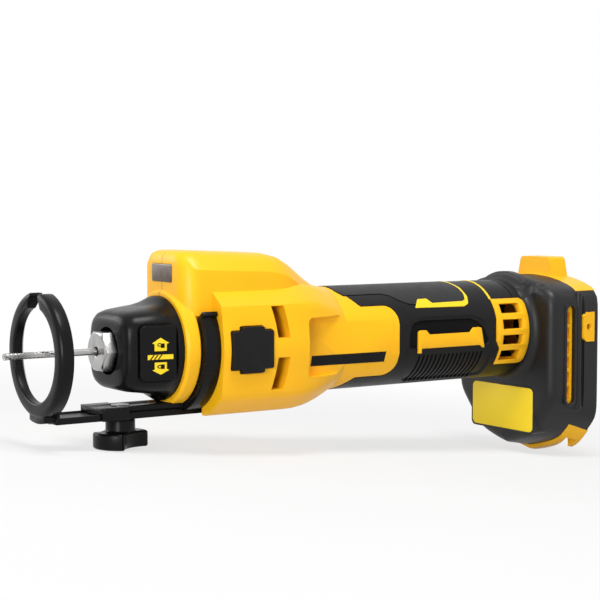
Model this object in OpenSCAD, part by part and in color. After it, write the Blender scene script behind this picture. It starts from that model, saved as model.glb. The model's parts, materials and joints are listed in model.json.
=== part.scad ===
// Cordless drywall cut-out tool with its depth guide and a bit fitted, without a battery.
// Millimetres. The spindle runs along +X to the nose, +Z is up and +Y is the tool's left side.
// The origin lies on the spindle axis, in the plane where a battery seats.

/* [Foot] */
// Depth of the foot along the tool
foot_depth = 34.5; // [32:0.5:42]
// Width of the foot
foot_w = 78; // [76:1:88]
// Height of the foot's top above the spindle axis
foot_top = 29; // [28:0.5:36]
// Distance from the spindle axis down to the lowest edge of the foot
foot_drop = 73.4; // [70:0.2:84]
// Depth of the battery rail frame
rail_depth = 14; // [13:0.5:16]
// Width between the battery rails
rail_gap = 38; // [36:1:44]
// How far each rail lip reaches over the battery's runner
lip_reach = 6; // [3:0.5:7]
// Height of the stop block above the top of the rail frame
stop_h = 9.5; // [6:0.5:12]
// Diameter of the tapped hook holes
hook_hole_d = 3.3; // [2.5:0.1:4]
// Width of the bare rating plate
plate_w = 50; // [30:1:52]
// Height of the bare rating plate
plate_h = 24; // [14:1:25]

/* [Grip] */
// Length of the grip from the foot to the head
grip_len = 123.5; // [120:0.5:135]
// Diameter over the soft grip
grip_d = 52.8; // [51:0.2:57]
// Width across the flattened sides of the grip
grip_flat_w = 50.6; // [49:0.2:51]
// Thickness of the soft cover on the grip
cover_t = 2.6; // [2.2:0.1:3]
// Number of fine ribs under the badge
rib_count = 16; // [6:1:22]
// Length of the badge strip
badge_len = 44; // [36:1:48]
// Length of the rear vent grille
grille_len = 22; // [19:0.5:24]
// Height of the rear vent grille
grille_h = 35; // [30:1:38]
// Number of slots in the rear vent grille
grille_slots = 4; // [3:1:5]

/* [Head] */
// Length of the head from the grip to the band of the depth guide
head_len = 75.6; // [75:0.2:90]
// Width of the head
head_w = 68; // [67:0.5:76]
// Distance from the spindle axis down to the head's belly
head_drop = 32.2; // [31:0.1:38]
// Wall of the moulded housing
wall = 2.8; // [2.4:0.1:3.2]
// Width of the raised top block
block_w = 45; // [42:0.5:50]
// Height of the top block above the spindle axis
block_top = 46.4; // [45:0.2:54]
// Distance that the top block reaches past the front of the head
block_reach = 14.4; // [11:0.2:15]
// Plan radius of the top block's front corners
block_corner = 10; // [8:0.5:12]
// Width of the lamp window
lamp_w = 19; // [12:0.5:20]
// Height of the lamp window
lamp_h = 8.5; // [6:0.5:9]
// Length of the switch pad
pad_len = 22.8; // [18:0.2:24]
// Height of the switch pad
pad_h = 22; // [15:0.5:23]
// Travel of the switch pad
pad_travel = 2; // [1:0.1:2.2]

/* [Nose] */
// Diameter of the yellow front ring
neck_d = 55.5; // [54:0.5:62]
// Width of the yellow front ring
neck_ring_w = 7.2; // [6:0.1:10]
// Width of the depth guide's band
band_w = 8.7; // [6:0.1:10]
// Length of the bit change collar
collar_len = 27.6; // [25:0.1:30]
// Width of the collar at its front
collar_w = 40; // [38:0.5:44]
// Height of the collar at its front
collar_h = 36; // [33:0.5:38]
// Distance that the collet nut stands out of the collar
nut_out = 5.7; // [5:0.1:10]
// Size of the collet nut across its flats
nut_af = 18; // [16:0.5:19]

/* [Bit] */
// Diameter of the bit
bit_d = 3.2; // [3:0.1:6.4]
// Length of the bit that stands out of the collet nut
bit_out = 46; // [38:1:60]
// Length of the bit's flutes
flute_len = 28; // [15:1:32]

/* [Depth guide] */
// Outer diameter of the guide ring
ring_od = 58; // [54:1:64]
// Width of the guide ring's face from its inner to its outer edge
ring_face = 7; // [5:0.5:9]
// Thickness of the guide ring
ring_t = 6.8; // [5:0.2:10]
// Gap between the ring's ends
ring_split = 8; // [3:0.5:10]
// Distance from the collet nut to the front of the guide ring
ring_out = 31.6; // [26:0.2:40]
// Travel of the depth guide
guide_travel = 30; // [20:1:32]
// Thickness of the guide's flat bar
bar_t = 2.2; // [1.8:0.1:2.6]
// Diameter of the clamp stud
stud_d = 5; // [4:0.5:6]
// Width across the wings of the clamp knob
knob_w = 26; // [24:0.5:34]
// Height of the wings of the clamp knob
knob_wing_h = 7.7; // [6:0.1:10]
// Height of the knob's round shoulder
knob_neck_h = 6.4; // [5:0.1:8]

/* [Motor] */
// Outer diameter of the stator
stator_d = 44; // [40:0.2:45]
// Outer diameter of the rotor
rotor_d = 24; // [20:0.2:26]
// Number of coils
coil_count = 9; // [6:3:12]
// Number of fan blades
blade_count = 13; // [9:1:17]
// Bore of the front bearing
front_bore = 10; // [9:0.5:11]
// Bore of the rear bearing
rear_bore = 8; // [7:0.5:9]

/* [Fits] */
// Gap between pieces that are seated in each other
seat_gap = 0.1; // [0.05:0.01:0.2]
// Gap between pieces that move past each other
run_gap = 0.35; // [0.3:0.05:0.5]
// Radial gap of a shaft in a bore
shaft_gap = 0.03; // [0.02:0.01:0.08]

/* [Hidden] */

$fn = 72;
cut = 0.5;
loft_steps = 48;
foot_sharpness = 30;
head_sharpness = 80;

yellow = "#F7B500";
black = "#2B2B2D";
steel = "#C9CCCF";
brass = "#C9A24A";
copper = "#B8703A";
board_green = "#2F6B45";

grip_r = grip_d / 2;
core_r = grip_r - cover_t;
room_r = core_r - wall;
grip_side = grip_flat_w / 2;
head_rear = foot_depth + grip_len;
head_front = head_rear + head_len;
neck_rear = head_front + band_w;
neck_front = neck_rear + neck_ring_w;
collar_rear = neck_front + run_gap;
collar_front = collar_rear + collar_len;
nut_front = collar_front + nut_out;
bit_tip = nut_front + bit_out;
ring_front = nut_front + ring_out;
block_front = head_front + block_reach;
neck_r = neck_d / 2;
groove_r = neck_r - 1.6;

// Motor room, whose length follows the head's
motor_spare = 45.6;
stator_len = head_len - motor_spare;
motor_r = stator_d / 2 + seat_gap;
stator_setback = 6.5;
stator_rear = head_rear + stator_setback;
stator_front = stator_rear + stator_len;
coil_end = 4;
fan_rear = stator_front + coil_end + 0.8;
fan_len = 7;
fan_r = motor_r - 1.4;
exhaust_r = head_w / 2 - 4.5;
exhaust_half_h = 23;
exhaust_margin = 2.2;
room_front = head_front - 3.8;
rear_bearing_r = 11;
rear_bearing_len = 7;
rear_bearing_x = head_rear - 9;
front_bearing_r = 13;
front_bearing_len = 8;
front_bearing_x = head_front + 3.7;
bearing_ring_t = 2.2;
seal_len = 3;
seal_x = front_bearing_x + front_bearing_len;
spigot_r = 16;
spigot_len = 9.5;
spigot_front = neck_front + spigot_len;
clip_x = neck_front + 5.6;
clip_t = 1.4;
clip_depth = 1.2;
nose_r = 7;

// Nut, collet and bit
nut_inside = 10.3;
nut_len = nut_out + nut_inside;
nut_rear = nut_front - nut_len;
nut_corner_r = nut_af / sqrt(3);
nut_bore_r = nose_r + shaft_gap;
nut_thread_len = 6.5;
nose_front = nut_rear + nut_thread_len;
bit_r = bit_d / 2;
collet_front_r = bit_r + 2;
collet_rear_r = nose_r - 1.2;
collet_len = nut_len - nut_thread_len - 1.5;
collet_x = nose_front + seat_gap;
socket_rear = collet_x - 14;
bit_rear = socket_rear + 1;
mouth_r = nut_corner_r + 0.9;

// Depth guide
band_r = neck_r + 3.6;
arm_w = 16.6;
arm_t = 3.2;
arm_top = -(neck_r - 2);
arm_bottom = arm_top - arm_t;
arm_front = nut_front + 2.5;
boss_rear = head_front - 10.8;
boss_half_w = 12;
bar_top = arm_bottom - run_gap;
bar_bottom = bar_top - bar_t;
bar_rear = head_front - 1.8;
bar_flange_t = 1.2;
flange_rear = neck_rear + run_gap;
bar_half_w = arm_w / 2 + run_gap + bar_flange_t;
flange_top = arm_top - 2.6;
saddle_t = 1.6;
saddle_len = 14;
saddle_half_w = bar_half_w + run_gap + saddle_t;
stud_x = nut_front - 12.4;
stud_r = stud_d / 2;
stud_head_t = 1.2;
stud_head_r = stud_r + 2;
slot_half_w = stud_r + run_gap;
knob_top = bar_bottom - run_gap;
knob_neck_r = 7;
knob_bottom = knob_top - knob_neck_h - knob_wing_h;
insert_r = stud_r + 1.6;
stud_bottom = knob_bottom + 2.4;
ring_rear = ring_front - ring_t;
ring_fillet = 2.6;
ring_bevel = 0.6;
ring_lip = 4.3;
ring_r = ring_od / 2;
ring_hole_r = ring_r - ring_face;
ring_boss_half_w = 8;
ring_flat = 0.9;
ring_gap_lip = 1.2;
ring_gap_taper = 5;
ring_gap_step = 2;

// Switch
pad_x = head_front - 15.6;
pad_step = 3.8;
pad_core = 0.55;
pad_round = 1;
pad_out = 0.9;
head_side = head_w / 2;
pad_face = head_side + pad_out;
pad_back = pad_face - 4;
pocket_floor = pad_back - pad_travel - run_gap;
plunger_r = 3;
module_len = 16;
module_h = 15;
module_face = sqrt(pow(motor_r, 2) - pow(module_h / 2, 2)) - seat_gap;
module_depth = 11;

// Top block
block_half_w = block_w / 2;
block_base = 16;
block_room_top = block_top - 10;
block_room_floor = motor_r + 3.4;
block_room_half_w = block_half_w - 5;
block_room_rear = head_rear + 38;
lamp_t = 2.4;
lamp_x = block_front - lamp_t + 0.4;
lamp_z = block_top - 10.6;
lamp_board_t = 1.6;
board_t = 1.6;
board_setback = 14;
capacitor_r = 4;
capacitor_h = 6;
capacitor_setback = 10;

// Foot
foot_half_w = foot_w / 2;
foot_mid = -20;
foot_low_corner = 8.8;
foot_rise = 0.22;
foot_high_corner = 16.3;
foot_low_bow = 2.4;
foot_high_bow = 2;
lip_show = 2.6;
rail_half_w = foot_half_w - 7.5;
rail_shoulder = foot_top - 8;
rail_toe = foot_mid - 38.6;
channel_depth = rail_depth - 4;
lip_t = 3;
stop_floor = foot_top - 9;
stop_half_w = 11.5;
stop_depth = 11.5;
root_fillet = 4.5;
slot_x = rail_depth + 6.6;
slot_w = 5.6;
slot_z = -13;
slot_h = 53;
slot_floor = foot_half_w - 4;
strip_t = 2.2;
rim_w = 1.5;
rim_out = 0.5;
rim_root = 1;
pillar_x = rail_depth - 0.7;
pillar_r = 1.9;
pillar_low = foot_mid - 22;
pillar_high = foot_top - 9.5;
pillar_groove_w = 5.8;
pillar_groove = 1.1;
hook_x = 7.5;
hook_z = 1.6;
hook_w = 8;
hook_h = 16;
hook_seat = foot_half_w - 2;
hook_out = 0.5;
hook_boss_r = 3.6;
hook_boss_len = 5;
plate_t = 0.6;
plate_gap = 5.4;
plate_pad = 9;
plate_rim = 0.9;
plate_rim_out = 0.2;
plate_z = -(grip_r + plate_gap + plate_h / 2);
terminal_w = 24;
terminal_h = 26;
terminal_z = 4;
blade_count_foot = 4;

// Tongue of the housing that runs into the grip on each side
tongue_rear = head_rear - 33;
tongue_top = 16.8;
tongue_bottom = -19;
tongue_corner = 7;
tongue_slope = 12;
tongue_shoulder = 21;
tongue_heel = 23;
tongue_overlap = 20;
panel_depth = 0.7;
panel_margin = 3.4;
panel_end = 6;
panel_corner = 3;

// Rear vent grille, badge and ribs in the grip
grille_rear = foot_depth + 4.5;
grille_front = grille_rear + grille_len;
grille_r = grip_r + 0.6;
grille_inner = core_r + seat_gap;
grille_bar = 3.2;
grille_step = 2.4;
grille_rear_bar = 4.4;
grille_front_bar = 1.6;
badge_front = tongue_rear - 12;
badge_rear = badge_front - badge_len;
badge_h = 7;
badge_z = -2.4;
badge_t = 1.6;
badge_out = 0.4;
badge_tab = 2.4;
badge_tab_w = 5;
rib_pitch = badge_len / rib_count;
rib_depth = 0.5;

// Screws that close the housing, as places along the tool and in height
screw_r = 1.6;
screw_head_r = 3;
screw_head_len = 2.4;
screw_reach = 9;
screw_places = [
    [head_rear + 31, block_top - 12],
    [head_front - 1.3, block_top - 5.2],
    [head_rear + 30, -(motor_r + 4.5)],
    [head_front - 15.8, -(motor_r + 4.5)]
];
screw_seat = 10;

// Vents of the head: a curved slot over and under a rib
vent_bend = 68;
vent_w = 6.8;
vent_front = pad_x - pad_len / 2 - 3.4;
vent_rib_half = 4.6;
vent_half_h = 20;

function unit(v) = v / norm(v);
function lerp(a, b, t) = a + (b - a) * t;

// Distance from the middle of a section to its edge in direction a.
// Each side is [direction of its normal, distance], and the sides meet in rounded corners.
function edge_reach(sides, a, sharpness) =
    pow([for (s = sides) pow(max(0, cos(a - s[0])) / s[1], sharpness)]
        * [for (s = sides) 1], -1 / sharpness);

// Arc from a corner's first tangent point to its second
function corner_arc(before, corner, after, r, steps = 6) =
    let (u = unit(before - corner), v = unit(after - corner))
    let (half = acos(u * v) / 2, middle = corner + unit(u + v) * r / sin(half))
    let (first = corner + u * r / tan(half) - middle, last = corner + v * r / tan(half) - middle)
    let (start = atan2(first.y, first.x), turn = atan2(last.y, last.x) - start)
    let (sweep = turn > 180 ? turn - 360 : turn < -180 ? turn + 360 : turn)
    [for (i = [0:steps]) middle + r * [cos(start + sweep * i / steps), sin(start + sweep * i / steps)]];

// Outline whose corners are rounded, each point being [x, y, radius]
function rounded(points) =
    [for (i = [0:len(points) - 1])
        let (p = points[i])
        let (a = points[(i + len(points) - 1) % len(points)], b = points[(i + 1) % len(points)])
        each p.z == 0 ? [[p.x, p.y]] : corner_arc([a.x, a.y], [p.x, p.y], [b.x, b.y], p.z)];

// Open path whose inner corners are rounded, each point being [x, y, radius]
function rounded_path(points) =
    let (last = len(points) - 1)
    [for (i = [0:last])
        let (p = points[i], a = points[max(0, i - 1)], b = points[min(last, i + 1)])
        each p.z == 0 ? [[p.x, p.y]] : corner_arc([a.x, a.y], [p.x, p.y], [b.x, b.y], p.z)];

// Skin through rings that all have the same number of points, closed at both ends
module loft(rings) {
    n = len(rings[0]);
    last = len(rings) - 1;
    sides = [for (i = [0:last - 1]) for (j = [0:n - 1])
        let (k = (j + 1) % n)
        each [[i * n + j, (i + 1) * n + j, (i + 1) * n + k], [i * n + j, (i + 1) * n + k, i * n + k]]];
    rear_cap = [for (j = [0:n - 1]) j];
    front_cap = [for (j = [n - 1:-1:0]) last * n + j];
    polyhedron([for (ring = rings) each ring], concat(sides, [rear_cap, front_cap]), convexity = 6);
}

// Places children that are drawn around +Z so that they turn about the spindle axis
module along_x(x) {
    translate([x, 0, 0]) rotate([0, 90, 0]) children();
}

// Extrudes an outline drawn in X and Z from y outwards
module across(y, depth) {
    translate([0, y + depth, 0]) rotate([90, 0, 0]) linear_extrude(depth) children();
}

// Extrudes an outline drawn in Y and Z from x forwards
module lengthwise(x, depth) {
    translate([x, 0, 0]) rotate([90, 0, 90]) linear_extrude(depth) children();
}

// Tube about the spindle axis from x0 to x1
module tube(x0, x1, outer_r, inner_r) {
    along_x(x0) difference() {
        cylinder(x1 - x0, r = outer_r);
        translate([0, 0, -cut]) cylinder(x1 - x0 + 2 * cut, r = inner_r);
    }
}

// Rod about the spindle axis from x0 to x1
module rod(x0, x1, r) {
    along_x(x0) cylinder(x1 - x0, r = r);
}

// Everything on the left of the tool's middle plane
module left_side() {
    span = bit_tip + foot_drop;
    translate([-span / 2, 0, -span]) cube([2 * span, span, 2 * span]);
}

module on_right() {
    mirror([0, 1, 0]) children();
}

// Rectangle with round corners about a centre
module round_rect(centre, size, r) {
    translate(centre) union() {
        square([size.x - 2 * r, size.y], center = true);
        square([size.x, size.y - 2 * r], center = true);
        for (i = [-1, 1], j = [-1, 1])
            translate([i * (size.x / 2 - r), j * (size.y / 2 - r)]) circle(r);
    }
}

// Head

head_draft = 8;
head_low_edge = head_drop + 4.2;
head_shoulder = head_drop + 3;
head_sides = [
    [head_draft, head_side * cos(head_draft)], [-head_draft, head_side * cos(head_draft)],
    [-55, head_low_edge], [-90, head_drop], [54, head_shoulder], [90, block_base + 14]
];
side_taper = 38;
belly_taper = 30;
head_stations = [0, 3, 6, 10, 14, 18, 22, 27, 32, side_taper];

// How far a section has swollen from the grip's round to the head's shape in direction a
function head_swell(x, a) =
    sin(90 * min(1, (x - head_rear) / lerp(side_taper, belly_taper, abs(sin(a)))));
function head_ring(x) =
    [for (i = [0:loft_steps])
        let (a = -90 + 180 * i / loft_steps)
        let (r = lerp(grip_r, edge_reach(head_sides, a, head_sharpness), head_swell(x, a)))
        [x, abs(i - loft_steps / 2) == loft_steps / 2 ? 0 : r * cos(a), r * sin(a)]];

module head_skin() {
    loft([for (x = head_stations) head_ring(head_rear + x), head_ring(head_front)]);
}

// Rear slope of the top block: distance from the head's rear, share of the width, drop of the top
block_slope = [
    [4, 0.4, 19.6], [8, 0.51, 18.2], [14.5, 0.64, 14.4], [21, 0.78, 10.4], [27, 0.89, 6.8],
    [33.4, 0.97, 3.7], [42, 1, 1.8]
];
block_edge = 8;
block_nose = 5.4;
block_nose_edge = 2.5;
// Upper edge of the block from its side to its top, as shares of the edge's size
block_bevel = [[0, -1.1], [0.42, -0.5], [0.8, -0.18], [1.15, -0.05], [1.5, 0]];

function block_ring(x, half_w, top, edge) =
    let (r = min(edge, half_w / 2))
    concat([[x, 0, block_base], [x, half_w, block_base]],
        [for (p = block_bevel) [x, half_w - r * p.x, top + r * p.y]],
        [[x, 0, top]]);

function block_nose_ring(a) =
    let (x = block_front - block_corner + block_corner * sin(a))
    let (turn = 1 - cos(a))
    block_ring(x, block_half_w - block_corner * turn, block_top - block_nose * turn * turn,
        lerp(block_edge, block_nose_edge, turn));

module block_skin() {
    loft(concat(
        [for (s = block_slope)
            block_ring(head_rear + s[0], block_half_w * s[1], block_top - s[2], block_edge)],
        [for (a = [0:18:90]) block_nose_ring(a)]));
}

// Outline of the tongue, with room to spare where it runs into the head
module tongue_outline(gap) {
    far = grip_r + wall;
    polygon(rounded([
        [head_rear + tongue_overlap, far, 0],
        [tongue_rear + tongue_shoulder + tongue_slope - gap, far, 0],
        [tongue_rear + tongue_shoulder - gap, tongue_top + gap, 2],
        [tongue_rear - gap, tongue_top + gap, tongue_corner],
        [tongue_rear - gap, tongue_bottom - gap, tongue_corner],
        [tongue_rear + tongue_heel - gap, tongue_bottom - gap, 2],
        [tongue_rear + tongue_heel + tongue_slope - gap, -far, 0],
        [head_rear + tongue_overlap, -far, 0]
    ]));
}

// Core tube, tongue, groove for the band, front ring and spigot
module round_core() {
    along_x(0) rotate_extrude() polygon([
        [0, foot_depth - 8], [core_r, foot_depth - 8], [core_r, head_rear + 2], [core_r, head_front - 4],
        [groove_r, head_front - 4], [groove_r, neck_rear], [neck_r - 0.6, neck_rear],
        [neck_r, neck_rear + 0.6], [neck_r, neck_front - 1.2], [neck_r - 1.2, neck_front],
        [spigot_r, neck_front], [spigot_r, clip_x], [spigot_r - clip_depth, clip_x],
        [spigot_r - clip_depth, clip_x + clip_t], [spigot_r, clip_x + clip_t],
        [spigot_r, spigot_front], [0, spigot_front]
    ]);
    intersection() {
        rod(tongue_rear - cut, head_rear + 2, grip_r - seat_gap);
        across(-grip_side, grip_flat_w) tongue_outline(-seat_gap);
    }
}

// Room for the bearings, motor, fan and spindle
module inner_room() {
    along_x(0) rotate_extrude() polygon([
        [0, 0], [room_r, 0], [room_r, rear_bearing_x - 3],
        [rear_bearing_r - 2, rear_bearing_x - 3], [rear_bearing_r - 2, rear_bearing_x],
        [rear_bearing_r + shaft_gap, rear_bearing_x],
        [rear_bearing_r + shaft_gap, rear_bearing_x + rear_bearing_len + 1],
        [room_r - 2, rear_bearing_x + rear_bearing_len + 1],
        [room_r - 2, stator_rear - coil_end - 1], [motor_r - 1.5, stator_rear - coil_end - 1],
        [motor_r - 1.5, stator_rear], [motor_r, stator_rear], [motor_r, room_front],
        [front_bearing_r - 2, room_front], [front_bearing_r - 2, front_bearing_x],
        [front_bearing_r + shaft_gap, front_bearing_x],
        [front_bearing_r + shaft_gap, seal_x + seal_len], [nose_r + 2, seal_x + seal_len],
        [nose_r + 2, spigot_front + cut], [0, spigot_front + cut]
    ]);
}

module block_room() {
    room_len = lamp_x - lamp_board_t - block_room_rear;
    translate([block_room_rear, -block_room_half_w, block_room_floor])
        cube([room_len, 2 * block_room_half_w, block_room_top - block_room_floor]);
    lengthwise(lamp_x - lamp_board_t - cut, block_front)
        round_rect([0, lamp_z], [lamp_w + 2 * seat_gap, lamp_h + 2 * seat_gap], 0.8 + seat_gap);
}

// Room round the fan, from which the air leaves through the head's vents
module exhaust_room() {
    room_rear = fan_rear - exhaust_margin;
    intersection() {
        rod(room_rear, fan_rear + fan_len + exhaust_margin, exhaust_r);
        translate([room_rear, -head_w, -exhaust_half_h]) cube([head_len, 2 * head_w, 2 * exhaust_half_h]);
    }
}

// Curved slots beside the switch pad
module head_vents() {
    for (side = [-1, 1])
        across(motor_r - 14, head_side)
            intersection() {
                translate([vent_front + vent_bend, 0]) difference() {
                    circle(vent_bend + vent_w);
                    circle(vent_bend);
                }
                translate([vent_front - 2 * vent_w, side > 0 ? vent_rib_half : -vent_half_h])
                    square([4 * vent_w, vent_half_h - vent_rib_half]);
            }
}

// Recess for the depth guide's boss under the front of the head
module boss_notch() {
    notch_h = 2 * head_drop + arm_top + run_gap;
    translate([boss_rear - run_gap, -boss_half_w - run_gap, -2 * head_drop])
        cube([head_front - boss_rear + 2 * run_gap, 2 * (boss_half_w + run_gap), notch_h]);
    translate([head_front, -bar_half_w - run_gap, -2 * head_drop])
        cube([bit_tip, 2 * (bar_half_w + run_gap), notch_h]);
}

// Way in for the cooling air behind the rear grille
module air_window() {
    middle = [(grille_rear + grille_front) / 2 - 1, 0];
    across(room_r / 2, foot_w)
        round_rect(middle, [grille_len - 2 * grille_bar, grille_h - 2 * grille_bar], 2);
}

module pad_outline(gap) {
    outer = [pad_len / 2 + gap, (pad_h - pad_step) / 2 + gap];
    inner = [pad_len * pad_core / 2 + gap, pad_h / 2 + gap];
    quarter = [[outer.x, 0, 0], [outer.x, outer.y, pad_round], [inner.x, outer.y, pad_round / 2],
        [inner.x, inner.y, pad_round], [0, inner.y, 0]];
    for (i = [0, 1], j = [0, 1])
        mirror([i, 0, 0]) mirror([0, j, 0]) polygon(concat([[0, 0]], rounded_path(quarter)));
}

module switch_pocket() {
    translate([pad_x, 0]) across(pocket_floor, head_side) pad_outline(run_gap);
    translate([pad_x, 0]) across(motor_r - 10, head_side) circle(plunger_r + run_gap);
}

// Flat recess in the tongue's side
module panel_recess() {
    panel_front = stator_front - panel_end;
    panel_len = panel_front - tongue_rear - 2 * panel_margin;
    panel_h = tongue_top - tongue_bottom - 2 * panel_margin;
    across(grip_side - seat_gap - panel_depth, head_side)
        round_rect(
            [(tongue_rear + panel_front) / 2, (tongue_top + tongue_bottom) / 2],
            [panel_len, panel_h], panel_corner);
}

module screw_holes() {
    for (p = screw_places)
        translate([p.x, 0, p.y]) rotate([90, 0, 0])
            translate([0, 0, -screw_reach - seat_gap])
                cylinder(2 * screw_reach + head_w, r = screw_r + seat_gap);
}

module housing_half() {
    difference() {
        union() {
            head_skin();
            block_skin();
            intersection() {
                round_core();
                left_side();
            }
        }
        inner_room();
        exhaust_room();
        block_room();
        head_vents();
        boss_notch();
        air_window();
        panel_recess();
        screw_holes();
    }
}

module housing_left() {
    color(yellow) difference() {
        housing_half();
        switch_pocket();
    }
}

module housing_right() {
    color(yellow) difference() {
        on_right() housing_half();
        for (p = screw_places)
            translate([p.x, 0, p.y]) rotate([90, 0, 0])
                translate([0, 0, screw_seat - screw_head_len - seat_gap])
                    cylinder(head_w, r = screw_head_r + seat_gap);
    }
}

module housing_screws() {
    color(steel) for (p = screw_places)
        translate([p.x, 0, p.y]) rotate([90, 0, 0]) {
            translate([0, 0, -screw_reach]) cylinder(screw_reach + screw_seat, r = screw_r);
            translate([0, 0, screw_seat - screw_head_len]) cylinder(screw_head_len, r = screw_head_r);
        }
}

// Grip

module grille_outline(gap) {
    top = grille_h / 2 + gap;
    polygon(rounded([
        [grille_rear - gap, -top, 3 + gap], [grille_front - grille_step + gap, -top, 1],
        [grille_front - grille_step + gap, -top / 2, 1], [grille_front + gap, -top / 4, 1],
        [grille_front + gap, top, 1], [grille_rear - gap, top, 3 + gap]
    ]));
}

module badge_outline(gap) {
    low = badge_z - badge_h / 2 - gap;
    high = badge_z + badge_h / 2 + gap;
    polygon(rounded([
        [badge_rear - gap, low - badge_tab, 0.6], [badge_rear + 3 + gap, low, 0.6],
        [badge_front - 2 - gap, low, 0.6], [badge_front - 2 - gap, low - badge_tab, 0.4],
        [badge_front + gap, low - badge_tab, 0.4], [badge_front + gap, high + badge_tab, 2],
        [badge_front - badge_tab_w - gap, high + badge_tab, 0.8],
        [badge_front - badge_tab_w - badge_tab, high, 0.8],
        [badge_rear + badge_tab_w + 2 * badge_tab, high, 0.8],
        [badge_rear + badge_tab_w + badge_tab, high + badge_tab, 0.8],
        [badge_rear + badge_tab, high + badge_tab, 1.5]
    ]));
}

// Fine ribs round the underside of the grip
module rib_grooves() {
    intersection() {
        along_x(0) rotate_extrude() union()
            for (i = [0:rib_count - 1])
                translate([grip_r - rib_depth - 1, badge_rear + i * rib_pitch]) square([4, rib_pitch / 2]);
        translate([badge_rear - rib_pitch, -foot_w, -foot_w])
            cube([badge_len + 2 * rib_pitch, 2 * foot_w, foot_w + badge_z - badge_h]);
    }
}

module grip_cover_half() {
    difference() {
        intersection() {
            rod(foot_depth + seat_gap, head_rear + 14, grip_r);
            across(0, grip_side) translate([0, -foot_w]) square([bit_tip, 2 * foot_w]);
        }
        rod(0, bit_tip, core_r + seat_gap);
        across(-cut, foot_w) tongue_outline(seat_gap);
        rod(head_rear - 0.4, bit_tip, foot_w);
        across(core_r / 2, foot_w) grille_outline(seat_gap);
        across(grip_side - badge_t + badge_out - seat_gap, badge_t + 4) badge_outline(seat_gap);
        rib_grooves();
        foot_root(seat_gap);
    }
}

module grip_cover_left() {
    color(black) grip_cover_half();
}

module grip_cover_right() {
    color(black) on_right() grip_cover_half();
}

module vent_grille() {
    edge = 1;
    slot_pitch = (grille_h - 2 * edge) / grille_slots;
    slot_len = grille_len - grille_rear_bar - grille_step - grille_front_bar;
    slot_low = (grille_bar - grille_h) / 2 + edge;
    difference() {
        intersection() {
            tube(grille_rear - cut, grille_front + cut, grille_r, grille_inner);
            across(1, foot_w) grille_outline(0);
        }
        for (i = [0:grille_slots - 1])
            across(1, foot_w)
                translate([grille_rear + grille_rear_bar, slot_low + i * slot_pitch])
                    square([slot_len, slot_pitch - grille_bar]);
    }
}

module vent_grille_left() {
    color(yellow) vent_grille();
}

module vent_grille_right() {
    color(yellow) on_right() vent_grille();
}

module grip_badge() {
    across(grip_side - badge_t + badge_out, badge_t) badge_outline(0);
}

module grip_badge_left() {
    color(yellow) grip_badge();
}

module grip_badge_right() {
    color(yellow) on_right() grip_badge();
}

// Foot

// The foot's underside rises towards the front by rise
function foot_sides(rise, lip) = [
    [0, foot_half_w], [-40.5, foot_half_w + foot_low_corner - rise],
    [-73, foot_drop + foot_mid - foot_low_bow - rise - lip], [-90, foot_drop + foot_mid - rise - lip],
    [45, foot_half_w + foot_high_corner], [74, foot_top - foot_mid + foot_high_bow],
    [90, foot_top - foot_mid]
];

function foot_ring(x, inset, lip) =
    [for (i = [0:loft_steps])
        let (a = -90 + 180 * i / loft_steps)
        let (fade = 1 - x / foot_depth / 2)
        let (sides = [for (s = foot_sides(foot_rise * max(0, x), lip * fade)) [s[0], s[1] - inset]])
        let (r = edge_reach(sides, a, foot_sharpness))
        [x, abs(i - loft_steps / 2) == loft_steps / 2 ? 0 : r * cos(a), foot_mid + r * sin(a)]];

front_round = 5;

module foot_skin() {
    loft(concat(
        [foot_ring(seat_gap, 0.6, lip_show), foot_ring(1, 0, lip_show)],
        [for (a = [0:18:90])
            foot_ring(foot_depth - front_round + front_round * sin(a), front_round * (1 - cos(a)), lip_show)]));
}

// Flared root where the grip grows out of the foot
module foot_root(gap) {
    end = foot_depth + root_fillet;
    along_x(0) rotate_extrude() polygon(concat(
        [[0, foot_depth - 4], [grip_r + root_fillet, foot_depth - 4]],
        [for (i = [0:8]) let (a = 90 * i / 8)
            [grip_r + root_fillet * (1 - sin(a)) + gap, end - root_fillet * cos(a) + gap]],
        [[0, end + gap]]));
}

// A half section and its mirror image as one ring
function whole_ring(half) =
    concat(half, [for (i = [len(half) - 2:-1:1]) [half[i].x, -half[i].y, half[i].z]]);

// The space of the rail frame, which takes the foot's full width above and below
module rail_outline(gap) {
    square([2 * (rail_half_w + gap), 4 * foot_drop], center = true);
    rail_bands(gap);
}

module rail_body() {
    intersection() {
        loft([whole_ring(foot_ring(0, 0, 0)), whole_ring(foot_ring(rail_depth, 0, 0))]);
        lengthwise(-cut, rail_depth + 2 * cut) rail_outline(0);
    }
}

// The heights above and below the foot's side walls, where the rail frame takes the full width
module rail_bands(gap) {
    translate([-foot_w, rail_shoulder - gap]) square([2 * foot_w, foot_w]);
    translate([-foot_w, -2 * foot_drop]) square([2 * foot_w, 2 * foot_drop + rail_toe + gap]);
}

module hook_outline(gap) {
    chamfer = 2.2;
    x = hook_w / 2 + gap;
    z = hook_h / 2 + gap;
    translate([hook_x, hook_z]) polygon([
        [-x, -z], [x - chamfer, -z], [x, chamfer - z], [x, z - chamfer], [x - chamfer, z], [-x, z]
    ]);
}

// Rounded rib that stands in the foot's side groove
module foot_pillar() {
    translate([pillar_x, foot_half_w - pillar_r, pillar_low]) {
        cylinder(pillar_high - pillar_low, r = pillar_r);
        for (z = [0, pillar_high - pillar_low]) translate([0, 0, z]) sphere(pillar_r);
    }
}

module pillar_groove() {
    middle = [pillar_x, (pillar_low + pillar_high) / 2];
    across(foot_half_w - pillar_groove, foot_w)
        round_rect(middle, [pillar_groove_w, pillar_high - pillar_low + pillar_groove_w], 2 * rim_w);
}

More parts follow.
